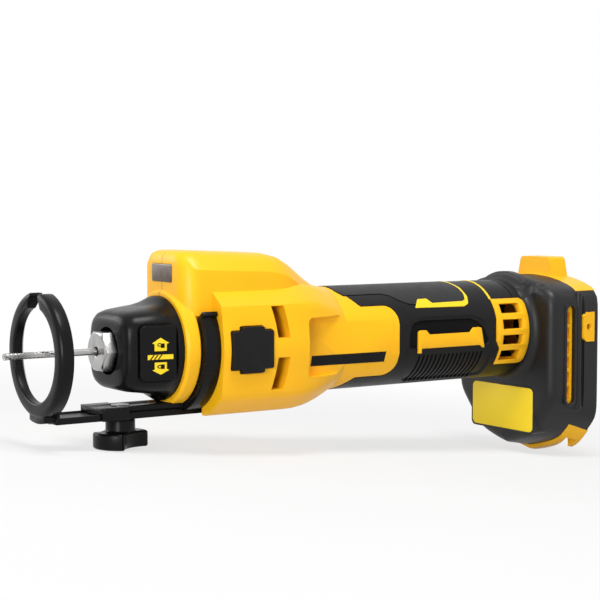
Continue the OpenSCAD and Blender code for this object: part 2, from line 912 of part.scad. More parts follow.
// Raised border round the side slot
module slot_rim() {
    across(foot_half_w - rim_root, rim_root + rim_out)
        round_rect([slot_x, slot_z], [slot_w + 2 * rim_w, slot_h + 2 * rim_w], slot_w / 2 + rim_w - 0.1);
}

// Left half of the raised pad that carries the plate
module plate_seat() {
    lengthwise(foot_depth - plate_pad, plate_pad + plate_rim_out) intersection() {
        plate_outline(plate_rim);
        translate([0, -2 * foot_drop]) square([foot_w, 2 * foot_drop]);
    }
}

module foot_shell_half() {
    difference() {
        union() {
            difference() {
                foot_skin();
                pillar_groove();
            }
            foot_pillar();
            slot_rim();
            intersection() {
                foot_root(0);
                left_side();
            }
            plate_seat();
        }
        lengthwise(-cut, rail_depth + seat_gap + cut) rail_outline(seat_gap);
        lengthwise(-cut, stop_depth + seat_gap + cut) stop_outline(seat_gap);
        rod(-cut, bit_tip, core_r + seat_gap);
        across(grip_r / 2, foot_w) grille_outline(seat_gap);
        across(slot_floor, foot_w) round_rect([slot_x, slot_z], [slot_w, slot_h], slot_w / 2 - 0.1);
        across(hook_seat, foot_w) hook_outline(seat_gap);
        translate([hook_x, 0, hook_z])
            across(hook_seat - hook_boss_len - seat_gap, foot_w) circle(hook_boss_r + seat_gap);
        lengthwise(foot_depth - plate_t / 2, foot_w) plate_outline(seat_gap);
    }
}

module foot_shell_left() {
    color(black) foot_shell_half();
}

module foot_shell_right() {
    color(black) on_right() foot_shell_half();
}

module plate_outline(gap) {
    round_rect([0, plate_z], [plate_w + 2 * gap, plate_h + 2 * gap], 3);
}

module rating_plate() {
    color(yellow) lengthwise(foot_depth - plate_t / 2, plate_t) plate_outline(0);
}

// Outline of the stop block, which is wider at its root
module stop_outline(gap) {
    root = stop_half_w + 3 + gap;
    top = foot_top + stop_h + gap;
    polygon(rounded([
        [-root, foot_top - 3, 0], [root, foot_top - 3, 0],
        [stop_half_w + gap, top, 2.5], [-stop_half_w - gap, top, 2.5]
    ]));
}

// Frame with the battery's rails, the stop block above and the lip below
module rail_frame() {
    color(yellow) difference() {
        union() {
            rail_body();
            lengthwise(0, stop_depth) stop_outline(0);
        }
        translate([-cut, -rail_gap / 2, -foot_drop - cut])
            cube([channel_depth + cut, rail_gap, foot_drop + stop_floor + cut]);
        translate([lip_t, -rail_gap / 2 - lip_reach, -foot_drop - cut])
            cube([channel_depth - lip_t, rail_gap + 2 * lip_reach, foot_drop + stop_floor + cut]);
        rod(channel_depth - cut, rail_depth + cut, room_r / 2);
    }
}

module terminal_block() {
    color(black) difference() {
        union() {
            translate([lip_t, -terminal_w / 2, terminal_z - terminal_h / 2])
                cube([channel_depth - lip_t, terminal_w, terminal_h]);
            rod(channel_depth, rail_depth + 4, room_r / 2 - seat_gap);
        }
        for (i = [0:blade_count_foot - 1]) blade_slot(i, seat_gap);
    }
}

// Place of one contact blade in the terminal block
module blade_slot(i, gap) {
    blade_t = 0.8;
    pitch = terminal_w / blade_count_foot;
    y = -terminal_w / 2 + (i + 0.5) * pitch;
    translate([lip_t - cut, y - blade_t / 2 - gap, terminal_z - terminal_h / 2 - cut])
        cube([channel_depth - lip_t - 1 + cut, blade_t + 2 * gap, terminal_h - 6]);
}

module contact_blades() {
    color(brass) intersection() {
        for (i = [0:blade_count_foot - 1]) blade_slot(i, 0);
        translate([lip_t + 1, -foot_w, terminal_z - terminal_h / 2 - cut])
            cube([channel_depth - lip_t - 2 - seat_gap, 2 * foot_w, terminal_h]);
    }
}

// Ribbed strip at the bottom of the foot's side slot
module side_strip() {
    windows = 6;
    pitch = (slot_h - 5) / windows;
    difference() {
        across(slot_floor, strip_t)
            round_rect([slot_x, slot_z], [slot_w - 2 * seat_gap, slot_h - 2 * seat_gap], slot_w / 2 - 0.2);
        for (i = [0:windows - 1])
            translate([slot_x - 0.9, slot_floor + strip_t - 1.2, slot_z - slot_h / 2 + 3 + i * pitch])
                cube([1.8, 2, pitch - 1.8]);
    }
}

module side_strip_left() {
    color(yellow) side_strip();
}

module side_strip_right() {
    color(yellow) on_right() side_strip();
}

// Pad with the tapped hole that a belt hook screws to
module hook_pad() {
    difference() {
        union() {
            across(hook_seat, foot_half_w - hook_seat + hook_out) hook_outline(0);
            translate([hook_x, 0, hook_z])
                across(hook_seat - hook_boss_len, hook_boss_len + cut) circle(hook_boss_r);
        }
        translate([hook_x, 0, hook_z]) across(0, foot_w) circle(hook_hole_d / 2);
    }
}

module hook_pad_left() {
    color(yellow) hook_pad();
}

module hook_pad_right() {
    color(yellow) on_right() hook_pad();
}

// Lamp, boards and switch

module lamp_window() {
    color("#8A8078") lengthwise(lamp_x, lamp_t) round_rect([0, lamp_z], [lamp_w, lamp_h], 0.8);
}

module lamp_board() {
    color(board_green) lengthwise(lamp_x - lamp_board_t, lamp_board_t)
        round_rect([0, lamp_z], [lamp_w, lamp_h], 0.8);
}

module control_board() {
    board_z = block_room_floor;
    color(board_green) {
        translate([block_room_rear + 1, -block_room_half_w + seat_gap, board_z])
            cube([lamp_x - block_room_rear - board_setback, 2 * (block_room_half_w - seat_gap), board_t]);
        translate([block_room_rear + capacitor_setback, 0, board_z + board_t])
            cylinder(capacitor_h, r = capacitor_r);
    }
}

module switch_module() {
    color(black) translate([pad_x - module_len / 2, module_face - module_depth, -module_h / 2])
        cube([module_len, module_depth, module_h]);
}

module switch_pad() {
    color(black) translate([pad_x, 0]) {
        across(pad_back, pad_face - pad_back) pad_outline(0);
        across(module_face + pad_travel + run_gap, pad_back - module_face - pad_travel) circle(plunger_r);
    }
}

// Motor and spindle

module stator() {
    teeth_r = rotor_d / 2 + 0.6;
    color("#5B5E63") tube(stator_rear, stator_front, stator_d / 2, teeth_r);
}

module stator_coils() {
    coil_r = (rotor_d + stator_d) / 4;
    coil_w = 2 * coil_r * sin(180 / coil_count) - 1.6;
    coil_len = coil_end - 0.4;
    color(copper) for (i = [0:coil_count - 1], x = [stator_rear - coil_len - seat_gap, stator_front + seat_gap])
        rotate([i * 360 / coil_count, 0, 0])
            translate([x, coil_r - 3, -coil_w / 2]) cube([coil_len, 5, coil_w]);
}

// Ball bearing's outer ring with its shields
module bearing_outer(x, len, outer_r, bore) {
    inner_land = bore / 2 + bearing_ring_t;
    difference() {
        tube(x, x + len, outer_r, inner_land + run_gap);
        tube(x + 0.8, x + len - 0.8, outer_r - bearing_ring_t, 0.1);
    }
}

module bearing_inner(x, len, bore) {
    tube(x, x + len, bore / 2 + bearing_ring_t, bore / 2);
}

module front_bearing_outer() {
    color(steel) bearing_outer(front_bearing_x, front_bearing_len, front_bearing_r, front_bore);
}

module front_bearing_inner() {
    color(steel) bearing_inner(front_bearing_x, front_bearing_len, front_bore);
}

module rear_bearing_outer() {
    color(steel) bearing_outer(rear_bearing_x, rear_bearing_len, rear_bearing_r, rear_bore);
}

module rear_bearing_inner() {
    color(steel) bearing_inner(rear_bearing_x, rear_bearing_len, rear_bore);
}

module nose_seal() {
    color("#1C1C1E") tube(seal_x, seal_x + seal_len, front_bearing_r, front_bore / 2 + run_gap);
}

module spindle() {
    color(steel) difference() {
        along_x(0) rotate_extrude() polygon([
            [0, rear_bearing_x - 2], [rear_bore / 2 - shaft_gap, rear_bearing_x - 2],
            [rear_bore / 2 - shaft_gap, stator_front + coil_end],
            [front_bore / 2 - shaft_gap, stator_front + coil_end],
            [front_bore / 2 - shaft_gap, seal_x + seal_len + 1], [nose_r, seal_x + seal_len + 1],
            [nose_r, nose_front], [0, nose_front]
        ]);
        rod(socket_rear, nose_front + cut, bit_r + shaft_gap);
    }
}

module rotor() {
    color("#8C8F94") tube(stator_rear, stator_front, rotor_d / 2, rear_bore / 2);
}

module fan() {
    hub_r = front_bore / 2 + 3;
    blade_t = 1.2;
    plate = 1.4;
    color(black) union() {
        tube(fan_rear, fan_rear + plate, fan_r, front_bore / 2);
        tube(fan_rear, fan_rear + fan_len, hub_r, front_bore / 2);
        for (i = [0:blade_count - 1])
            rotate([i * 360 / blade_count, 0, 0])
                translate([fan_rear, hub_r - 1, -blade_t / 2]) cube([fan_len, fan_r - hub_r, blade_t]);
    }
}

module collet() {
    color(steel) difference() {
        along_x(collet_x) cylinder(collet_len, r1 = collet_rear_r, r2 = collet_front_r);
        rod(collet_x - cut, nut_front, bit_r + shaft_gap);
        for (a = [0, 60, 120])
            rotate([a, 0, 0]) translate([collet_x + 3, -nose_r, -0.4]) cube([collet_len, 2 * nose_r, 0.8]);
    }
}

module collet_nut() {
    bevel = nut_corner_r - nut_af / 2;
    color(steel) difference() {
        intersection() {
            along_x(nut_rear) rotate([0, 0, 30]) cylinder(nut_len, r = nut_corner_r, $fn = 6);
            along_x(nut_rear) rotate_extrude() polygon([
                [0, 0], [nut_corner_r + 1, 0], [nut_corner_r + 1, nut_len - bevel - 0.6],
                [nut_af / 2 - 0.4, nut_len], [0, nut_len]
            ]);
        }
        rod(nut_rear - cut, nose_front + seat_gap, nut_bore_r);
        along_x(collet_x) cylinder(collet_len, r1 = collet_rear_r + shaft_gap, r2 = collet_front_r + shaft_gap);
        rod(collet_x, nut_front + cut, bit_r + 0.7);
    }
}

module cutting_bit() {
    flute_rear = bit_tip - flute_len;
    color(steel) {
        rod(bit_rear, flute_rear, bit_r);
        along_x(flute_rear) linear_extrude(flute_len, twist = -flute_len / bit_d * 50, slices = 18)
            difference() {
                circle(bit_r, $fn = 12);
                translate([bit_r * 1.05, 0]) circle(bit_r * 0.72, $fn = 6);
            }
    }
}

// Bit change collar

collar_flange_r = neck_r - 2.75;

// Ring of the collar: half width, half height and squareness of a rounded square
function collar_ring(x, half_w, half_h, square_power) =
    [for (i = [0:2 * loft_steps - 1])
        let (a = 180 * i / loft_steps - 90)
        let (r = pow(pow(abs(cos(a)) / half_w, square_power) + pow(abs(sin(a)) / half_h, square_power),
            -1 / square_power))
        [x, r * cos(a), r * sin(a)]];

module collar_skin() {
    w = collar_w / 2;
    h = collar_h / 2;
    loft([
        collar_ring(collar_rear, collar_flange_r, collar_flange_r, 2),
        collar_ring(collar_rear + 1.8, collar_flange_r, collar_flange_r, 2),
        collar_ring(collar_rear + 3.4, collar_flange_r - 0.4, collar_flange_r - 1, 2.2),
        collar_ring(collar_rear + 5.5, w + 4.2, h + 4.2, 2.8),
        collar_ring(collar_rear + 9, w + 3.4, h + 2.8, 3.6),
        collar_ring(collar_rear + 14, w + 2.4, h + 2, 4.2),
        collar_ring(collar_front - 6, w + 1.2, h + 1, 4.2),
        collar_ring(collar_front - 2.4, w, h, 4),
        collar_ring(collar_front - 0.8, w - 1.2, h - 1.2, 3.8),
        collar_ring(collar_front, w - 3.2, h - 3.2, 3.6)
    ]);
}

collar_pad_len = 18;
collar_pad_h = 25.4;
collar_pad_x = collar_rear + 12.4;
collar_pad_seat = collar_w / 2 + 0.8;
collar_pad_t = 2.2;
collar_pad_rim = 0.9;
collar_pad_corner = 2.6;
collar_pad_tilt = 8;

// Places a pad's outline on the collar's left side, which leans in towards the nose
module collar_pad_place(depth, gap) {
    translate([collar_pad_x, collar_pad_seat, 0]) rotate([0, 0, -collar_pad_tilt]) across(0, depth)
        round_rect([0, 0], [collar_pad_len + 2 * gap, collar_pad_h + 2 * gap], collar_pad_corner + gap);
}

module bit_change_collar() {
    color(black) difference() {
        collar_skin();
        rod(collar_rear - cut, spigot_front + run_gap, spigot_r + run_gap);
        rod(clip_x - run_gap, clip_x + clip_t + run_gap, spigot_r + clip_depth + run_gap);
        rod(collar_rear, collar_front + cut, mouth_r);
        for (side = [0, 1])
            mirror([0, side, 0]) collar_pad_place(collar_w, collar_pad_rim);
    }
}

module collar_pad() {
    collar_pad_place(collar_pad_t, 0);
}

module collar_pad_left() {
    color(black) collar_pad();
}

module collar_pad_right() {
    color(black) on_right() collar_pad();
}

module collar_clip() {
    outer_r = spigot_r + clip_depth - 0.2;
    color(steel) difference() {
        tube(clip_x + shaft_gap, clip_x + clip_t - shaft_gap, outer_r, spigot_r - clip_depth + shaft_gap);
        translate([clip_x - cut, -2.5, 0]) cube([clip_t + 2 * cut, 5, 2 * spigot_r]);
    }
}

// Depth guide

band_open = 56;
tab_t = 2.2;
tab_root = 2;
tab_out = 1.8;

module band_gap_wedge() {
    reach = 3 * neck_r;
    side = [reach * sin(band_open), reach * cos(band_open)];
    lengthwise(head_front - cut, band_w + 2 * cut)
        polygon([[0, 0], side, [0, 2 * reach], [-side.x, side.y]]);
}

// Clip band round the neck, its boss and the arm that carries the guide
module guide_bracket() {
    band_rear = head_front + run_gap;
    band_front = neck_rear - run_gap;
    channel_half_w = bar_half_w + run_gap;
    color(black) difference() {
        union() {
            difference() {
                tube(band_rear, band_front, band_r, groove_r + seat_gap);
                band_gap_wedge();
                translate([band_rear - cut, -channel_half_w, -2 * band_r])
                    cube([band_w + 2 * cut, 2 * channel_half_w, 2 * band_r + arm_bottom]);
            }
            for (side = [0, 1])
                mirror([0, side, 0]) rotate([90 - band_open, 0, 0])
                    translate([band_rear, band_r - tab_root, -tab_t])
                        cube([band_front - band_rear, tab_root + tab_out, tab_t]);
            translate([boss_rear, -boss_half_w, arm_bottom])
                cube([band_front - boss_rear, 2 * boss_half_w, arm_t]);
            translate([boss_rear, -arm_w / 2, arm_bottom]) cube([arm_front - boss_rear, arm_w, arm_t]);
            saddle();
        }
        rod(boss_rear - cut, bit_tip, groove_r + seat_gap);
        translate([stud_x, 0, arm_bottom - cut]) cylinder(arm_t + 2 * cut, r = stud_r + seat_gap);
        translate([stud_x, 0, arm_top - stud_head_t]) cylinder(arm_t, r = stud_head_r + seat_gap);
    }
}

// Bridge at the arm's front that holds the bar's flanges from outside
module saddle() {
    difference() {
        translate([arm_front - saddle_len, -saddle_half_w, bar_bottom])
            cube([saddle_len, 2 * saddle_half_w, arm_top - bar_bottom]);
        translate([arm_front - saddle_len - cut, -bar_half_w - run_gap, bar_bottom - cut])
            cube([saddle_len + 2 * cut, 2 * (bar_half_w + run_gap), flange_top + run_gap - bar_bottom + cut]);
    }
}

// Stud whose head is sunk in the arm's top, clear of the collar's corners
module clamp_stud() {
    head_seat = arm_top - stud_head_t + seat_gap;
    color(steel) union() {
        translate([stud_x, 0, stud_bottom]) cylinder(head_seat - stud_bottom, r = stud_r);
        translate([stud_x, 0, head_seat]) cylinder(stud_head_t, r = stud_head_r);
    }
}

module knob_insert() {
    color(brass) translate([stud_x, 0, 0]) difference() {
        translate([0, 0, knob_top - knob_neck_h]) cylinder(knob_neck_h, r = insert_r);
        translate([0, 0, knob_bottom]) cylinder(knob_top - knob_bottom + cut, r = stud_r + shaft_gap);
    }
}

module wing_outline() {
    half = knob_w / 2;
    waist_r = knob_w * 0.6;
    difference() {
        circle(half);
        for (side = [-1, 1])
            translate([0, side * (waist_r + knob_neck_r - 0.4)]) circle(waist_r);
    }
}

module clamp_knob() {
    wing_top = knob_top - knob_neck_h;
    color(black) translate([stud_x, 0, 0]) difference() {
        union() {
            translate([0, 0, wing_top - cut]) cylinder(knob_neck_h + cut, r = knob_neck_r);
            translate([0, 0, knob_bottom]) rotate([0, 0, 25]) linear_extrude(knob_wing_h) wing_outline();
        }
        translate([0, 0, wing_top - seat_gap]) cylinder(knob_neck_h + cut, r = insert_r + seat_gap);
        translate([0, 0, stud_bottom - run_gap]) cylinder(knob_neck_h + knob_wing_h, r = stud_r + run_gap);
    }
}

// Thicker foot of the ring, which the bar grows out of
module ring_boss() {
    intersection() {
        tube(ring_rear - ring_fillet, ring_front - ring_fillet / 2, -bar_bottom, ring_r - ring_fillet);
        translate([0, -ring_boss_half_w, -ring_od]) cube([bit_tip, 2 * ring_boss_half_w, ring_od]);
    }
}

// Gap between the ring's ends, the left one tapered and the right one stepped
module ring_gap() {
    half = ring_split / 2;
    inside = ring_hole_r - ring_gap_taper;
    polygon([
        [half, ring_od], [half, ring_r - ring_gap_lip], [half + ring_gap_taper, inside],
        [-half - ring_gap_step, inside], [-half - ring_gap_step, ring_hole_r + ring_gap_step],
        [-half, ring_hole_r + 2 * ring_gap_step], [-half, ring_od]
    ]);
}

// Split ring with the slotted bar that slides under the arm
module guide_ring() {
    slot_front = stud_x + slot_half_w;
    slot_rear = stud_x - guide_travel - slot_half_w;
    color(black) difference() {
        union() {
            along_x(ring_rear) rotate_extrude() polygon(concat(
                [[ring_hole_r, ring_t - ring_lip], [ring_r - ring_fillet, 0], [ring_r, 0]],
                [for (i = [0:6]) let (a = 90 * i / 6)
                    [ring_r - ring_fillet * (1 - cos(a)), ring_t - ring_fillet * (1 - sin(a))]],
                [[ring_hole_r + ring_bevel, ring_t], [ring_hole_r, ring_t - ring_bevel]]));
            ring_boss();
            translate([bar_rear, -bar_half_w, bar_bottom])
                cube([ring_rear - bar_rear + cut, 2 * bar_half_w, bar_t]);
            for (side = [-1, 1])
                translate([flange_rear, side > 0 ? bar_half_w - bar_flange_t : -bar_half_w, bar_bottom])
                    cube([ring_rear - flange_rear, bar_flange_t, flange_top - bar_bottom]);
        }
        lengthwise(ring_rear - cut, ring_t + 2 * cut) ring_gap();
        translate([ring_rear - cut, -ring_od, ring_r - ring_flat])
            cube([ring_t + 2 * cut, 2 * ring_od, ring_od]);
        translate([0, 0, bar_bottom - cut]) linear_extrude(bar_t + 2 * cut) union() {
            translate([slot_rear + slot_half_w, -slot_half_w])
                square([slot_front - slot_rear - 2 * slot_half_w, 2 * slot_half_w]);
            translate([slot_rear + slot_half_w, 0]) circle(slot_half_w);
            translate([slot_front - slot_half_w, 0]) circle(slot_half_w);
        }
    }
}

housing_left();
housing_right();
grip_cover_left();
grip_cover_right();
foot_shell_left();
foot_shell_right();
rail_frame();
terminal_block();
contact_blades();
vent_grille_left();
vent_grille_right();
side_strip_left();
side_strip_right();
hook_pad_left();
hook_pad_right();
grip_badge_left();
grip_badge_right();
rating_plate();
lamp_window();
lamp_board();
control_board();
switch_module();
switch_pad();
stator();
stator_coils();
front_bearing_outer();
front_bearing_inner();
rear_bearing_outer();
rear_bearing_inner();
nose_seal();
spindle();
rotor();
fan();
collet();
collet_nut();
cutting_bit();
bit_change_collar();
collar_pad_left();
collar_pad_right();
collar_clip();
guide_bracket();
clamp_stud();
clamp_knob();
knob_insert();
guide_ring();
housing_screws();
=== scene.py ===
"""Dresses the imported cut-out tool: finishes, signs, small details, floor, lamps and camera.

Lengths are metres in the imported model's frame: +X to the nose, +Y to the tool's left side, +Z up.
Flat outlines are in millimetres. Outlines that wrap the grip are in millimetres along X and
degrees of turn round the tool's axis, from the left side over the top.
"""

import json
import math

import bpy
from mathutils import Matrix, Vector

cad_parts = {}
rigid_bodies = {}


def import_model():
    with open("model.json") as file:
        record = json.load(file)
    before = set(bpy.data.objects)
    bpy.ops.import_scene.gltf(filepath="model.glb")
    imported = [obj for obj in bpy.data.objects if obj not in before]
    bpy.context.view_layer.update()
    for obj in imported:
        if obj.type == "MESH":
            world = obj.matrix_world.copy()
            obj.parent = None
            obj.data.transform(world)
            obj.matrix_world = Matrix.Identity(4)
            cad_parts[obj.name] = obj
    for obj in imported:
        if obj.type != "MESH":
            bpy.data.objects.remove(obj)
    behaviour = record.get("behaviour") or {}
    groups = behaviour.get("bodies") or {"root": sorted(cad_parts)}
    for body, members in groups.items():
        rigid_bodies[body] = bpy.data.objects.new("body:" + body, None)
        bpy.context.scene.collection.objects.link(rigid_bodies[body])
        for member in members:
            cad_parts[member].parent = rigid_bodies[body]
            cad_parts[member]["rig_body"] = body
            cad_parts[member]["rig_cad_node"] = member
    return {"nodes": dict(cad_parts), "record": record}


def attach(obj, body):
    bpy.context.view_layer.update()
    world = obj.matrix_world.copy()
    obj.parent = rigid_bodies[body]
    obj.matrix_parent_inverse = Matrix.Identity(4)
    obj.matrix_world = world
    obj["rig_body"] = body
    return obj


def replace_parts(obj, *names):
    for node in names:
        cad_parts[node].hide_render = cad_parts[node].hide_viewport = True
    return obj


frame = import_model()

bl_info = {
    "name": "Cut-out tool dressing",
    "version": (1, 0, 0),
    "blender": (4, 5, 0),
    "location": "View3D > Sidebar > Cut-out tool",
    "description": "Finishes, signs and small details for the packed cut-out tool",
    "category": "Object",
}

MM = 0.001
SLOTS = {row["node"]: row["material_slot"] for row in frame["record"]["subparts"]}
SIDES = ("left", "right")
FORWARD = Vector((1, 0, 0))
LEFT = Vector((0, 1, 0))
UP = Vector((0, 0, 1))
# Leaves only the two directions across the tool
ACROSS = LEFT + UP
WHITE = (1, 1, 1, 1)
HALF_TURN = 180

# Model cleaning
WELD = 0.000002
FLAT_ANGLE = math.radians(0.8)
EDGE_ANGLE = math.radians(38)
SMOOTH_ANGLE = math.radians(32)
EDGE_SEGMENTS = 2
CORNER_SEGMENTS = 4


class CutterSizes(bpy.types.PropertyGroup):
    """Sizes of the added details."""

    edge: bpy.props.FloatProperty(
        name="Edge round", description="Rounding of moulded edges", default=0.0004, unit="LENGTH"
    )
    metal_edge: bpy.props.FloatProperty(
        name="Metal edge", description="Rounding of metal edges", default=0.00025, unit="LENGTH"
    )
    knob_edge: bpy.props.FloatProperty(
        name="Knob edge", description="Rounding of the clamp knob's edges", default=0.0011, unit="LENGTH"
    )
    pad_edge: bpy.props.FloatProperty(
        name="Pad edge",
        description="Rounding of the switch pad and collar pads",
        default=0.0006,
        unit="LENGTH",
    )
    line_proud: bpy.props.FloatProperty(
        name="Line height",
        description="How far the grip's yellow lines stand proud",
        default=0.00022,
        unit="LENGTH",
    )
    recess_depth: bpy.props.FloatProperty(
        name="Recess depth",
        description="Depth of the field that holds badge and ribs",
        default=0.0009,
        unit="LENGTH",
    )
    hollow_depth: bpy.props.FloatProperty(
        name="Hollow depth",
        description="Depth of the hollow above the badge",
        default=0.0019,
        unit="LENGTH",
    )
    sign_t: bpy.props.FloatProperty(
        name="Sign thickness", description="Thickness of the printed signs", default=0.00012, unit="LENGTH"
    )
    floor_half: bpy.props.FloatProperty(
        name="Floor half width", description="Half the width of the floor", default=6.0, unit="LENGTH"
    )


class CutterColours(bpy.types.PropertyGroup):
    """Colours of the finishes."""

    yellow: bpy.props.FloatVectorProperty(
        name="Yellow", description="Moulded yellow", default=(0.96, 0.50, 0.010), subtype="COLOR"
    )
    yellow_deep: bpy.props.FloatVectorProperty(
        name="Deep yellow",
        description="Darker patches of moulded yellow",
        default=(0.94, 0.47, 0.009),
        subtype="COLOR",
    )
    lemon: bpy.props.FloatVectorProperty(
        name="Lemon", description="Printed and inlaid yellow", default=(0.88, 0.64, 0.020), subtype="COLOR"
    )
    lemon_deep: bpy.props.FloatVectorProperty(
        name="Deep lemon",
        description="Darker patches of inlaid yellow",
        default=(0.85, 0.60, 0.016),
        subtype="COLOR",
    )
    black: bpy.props.FloatVectorProperty(
        name="Black", description="Moulded black", default=(0.0052, 0.0052, 0.0056), subtype="COLOR"
    )
    black_deep: bpy.props.FloatVectorProperty(
        name="Deep black",
        description="Darker patches of moulded black",
        default=(0.0035, 0.0035, 0.0038),
        subtype="COLOR",
    )
    rubber: bpy.props.FloatVectorProperty(
        name="Rubber", description="Soft black covers", default=(0.0085, 0.0085, 0.0090), subtype="COLOR"
    )
    rubber_deep: bpy.props.FloatVectorProperty(
        name="Deep rubber",
        description="Darker patches of the soft covers",
        default=(0.0055, 0.0055, 0.0058),
        subtype="COLOR",
    )
    steel: bpy.props.FloatVectorProperty(
        name="Steel", description="Turned steel", default=(0.47, 0.465, 0.46), subtype="COLOR"
    )
    steel_deep: bpy.props.FloatVectorProperty(
        name="Dark steel",
        description="Darker marks on turned steel",
        default=(0.41, 0.405, 0.40),
        subtype="COLOR",
    )


def sizes():
    """The sizes that a user can change."""
    return bpy.context.scene.cutter_sizes


def colours():
    """The colours that a user can change."""
    return bpy.context.scene.cutter_colours


# Finishes


def new_finish(name):
    """A node material, its shader, and the place in the object that its textures use."""
    material = bpy.data.materials.new(name)
    material.use_nodes = True
    tree = material.node_tree
    shader = tree.nodes["Principled BSDF"]
    place = tree.nodes.new("ShaderNodeTexCoord").outputs["Object"]
    return material, tree, shader, place


# The middle of a noise texture's range, where nearly all of its values lie
NOISE_LOW = 0.3
NOISE_HIGH = 0.7


def noise(tree, place, scale, detail):
    """A noise texture's value at a scale per metre."""
    node = tree.nodes.new("ShaderNodeTexNoise")
    node.inputs["Scale"].default_value = scale
    node.inputs["Detail"].default_value = detail
    tree.links.new(place, node.inputs["Vector"])
    return node.outputs["Fac"]


def remap(tree, value, start, end, low, high):
    """A value carried from one range to another."""
    node = tree.nodes.new("ShaderNodeMapRange")
    node.inputs["From Min"].default_value = start
    node.inputs["From Max"].default_value = end
    node.inputs["To Min"].default_value = low
    node.inputs["To Max"].default_value = high
    tree.links.new(value, node.inputs["Value"])
    return node.outputs["Result"]


def patchy(tree, place, grade, low, high):
    """A value that wanders between two limits, by a noise of this scale and detail."""
    return remap(tree, noise(tree, place, *grade), NOISE_LOW, NOISE_HIGH, low, high)


def blend_colours(tree, factor, low, high):
    """A colour between two, by the middle part of a factor."""
    ramp = tree.nodes.new("ShaderNodeValToRGB")
    ramp.color_ramp.elements[0].position = NOISE_LOW
    ramp.color_ramp.elements[1].position = NOISE_HIGH
    ramp.color_ramp.elements[0].color = (*low, 1)
    ramp.color_ramp.elements[1].color = (*high, 1)
    tree.links.new(factor, ramp.inputs["Fac"])
    return ramp.outputs["Color"]


def axis_of(tree, place, axis):
    """One coordinate of the place."""
    node = tree.nodes.new("ShaderNodeSeparateXYZ")
    tree.links.new(place, node.inputs[0])
    return node.outputs[axis]


def length_of(tree, vector):
    """The length of a vector."""
    node = tree.nodes.new("ShaderNodeVectorMath")
    node.operation = "LENGTH"
    tree.links.new(vector, node.inputs[0])
    return node.outputs["Value"]


SEAM_DARK = (0.02, 0.012, 0.004, 1)
SEAM_HALF = 0.00010
SEAM_FADE = 0.00024
# Sockets of the colour mix, which share their names with its other kinds
MIX_FACTOR = 0
MIX_COLOUR_A = 6
MIX_COLOUR_B = 7
MIX_COLOUR_OUT = 2


def seamed(tree, place, colour):
    """The colour, dark along the parting line between the two halves."""
    off = tree.nodes.new("ShaderNodeMath")
    off.operation = "ABSOLUTE"
    tree.links.new(axis_of(tree, place, "Y"), off.inputs[0])
    mix = tree.nodes.new("ShaderNodeMix")
    mix.data_type = "RGBA"
    mix.inputs[MIX_COLOUR_A].default_value = SEAM_DARK
    tree.links.new(remap(tree, off.outputs[0], SEAM_HALF, SEAM_FADE, 0, 1), mix.inputs[MIX_FACTOR])
    tree.links.new(colour, mix.inputs[MIX_COLOUR_B])
    return mix.outputs[MIX_COLOUR_OUT]


ROUND_SAMPLES = 4


def rounded_normal(tree):
    """The surface's direction with its sharp edges rounded off."""
    node = tree.nodes.new("ShaderNodeBevel")
    node.samples = ROUND_SAMPLES
    node.inputs["Radius"].default_value = sizes().edge
    return node.outputs["Normal"]


def bumped(tree, height, strength, depth, normal):
    """The surface's direction after a texture raises it."""
    node = tree.nodes.new("ShaderNodeBump")
    node.inputs["Strength"].default_value = strength
    node.inputs["Distance"].default_value = depth
    tree.links.new(height, node.inputs["Height"])
    tree.links.new(normal, node.inputs["Normal"])
    return node.outputs["Normal"]


# Between these distances from the tool's axis the sheen rises from the hollow's, a painted shade, to the
# cover's
HOLLOW_FLOOR = 0.0246
HOLLOW_EDGE = 0.0252
HOLLOW_SHADE_SHEEN = 0.03


def painted_hollow_shade(tree, place, specular):
    """Painted shade in the hollow: the sheen by the distance from the tool's axis, low in the hollow and
    full outside it.
    """
    flat = tree.nodes.new("ShaderNodeVectorMath")
    flat.operation = "MULTIPLY"
    flat.inputs[1].default_value = ACROSS
    tree.links.new(place, flat.inputs[0])
    reach = length_of(tree, flat.outputs["Vector"])
    return remap(tree, reach, HOLLOW_FLOOR, HOLLOW_EDGE, HOLLOW_SHADE_SHEEN, specular)


# Noise of the mouldings: scale per metre and detail
MOULDED_PATCHES = (22, 3)
MOULDED_GLOSS = (160, 4)
GRAIN_DETAIL = 3
GRAIN_STRENGTH = 0.35
# How far the roughness wanders below and above its middle
MOULDED_BELOW = 0.04
MOULDED_ABOVE = 0.05


def moulded(name, low, high, rough, grain, depth, specular, seam=False, hollow=False):
    """Moulded plastic or rubber: patchy colour and gloss over a fine spark-eroded grain."""
    material, tree, shader, place = new_finish(name)
    shader.inputs["Specular IOR Level"].default_value = specular
    # In the hollow round the badge the sheen is lowered: painted shade
    if hollow:
        tree.links.new(painted_hollow_shade(tree, place, specular), shader.inputs["Specular IOR Level"])
    colour = blend_colours(tree, noise(tree, place, *MOULDED_PATCHES), low, high)
    if seam:
        colour = seamed(tree, place, colour)
    tree.links.new(colour, shader.inputs["Base Color"])
    gloss = patchy(tree, place, MOULDED_GLOSS, rough - MOULDED_BELOW, rough + MOULDED_ABOVE)
    tree.links.new(gloss, shader.inputs["Roughness"])
    height = noise(tree, place, grain, GRAIN_DETAIL)
    normal = bumped(tree, height, GRAIN_STRENGTH, depth, rounded_normal(tree))
    tree.links.new(normal, shader.inputs["Normal"])
    return material


# Noise of turned metal: scale and detail of the rings after their stretch, then of the dull patches
TURNED_RINGS = (1, 2)
TURNED_GLOSS = (240, 3)
RING_STRETCH = 30
RING_STRENGTH = 0.02
RING_DEPTH = 0.00001
# How far the roughness wanders below and above its middle
TURNED_BELOW = 0.01
TURNED_ABOVE = 0.015


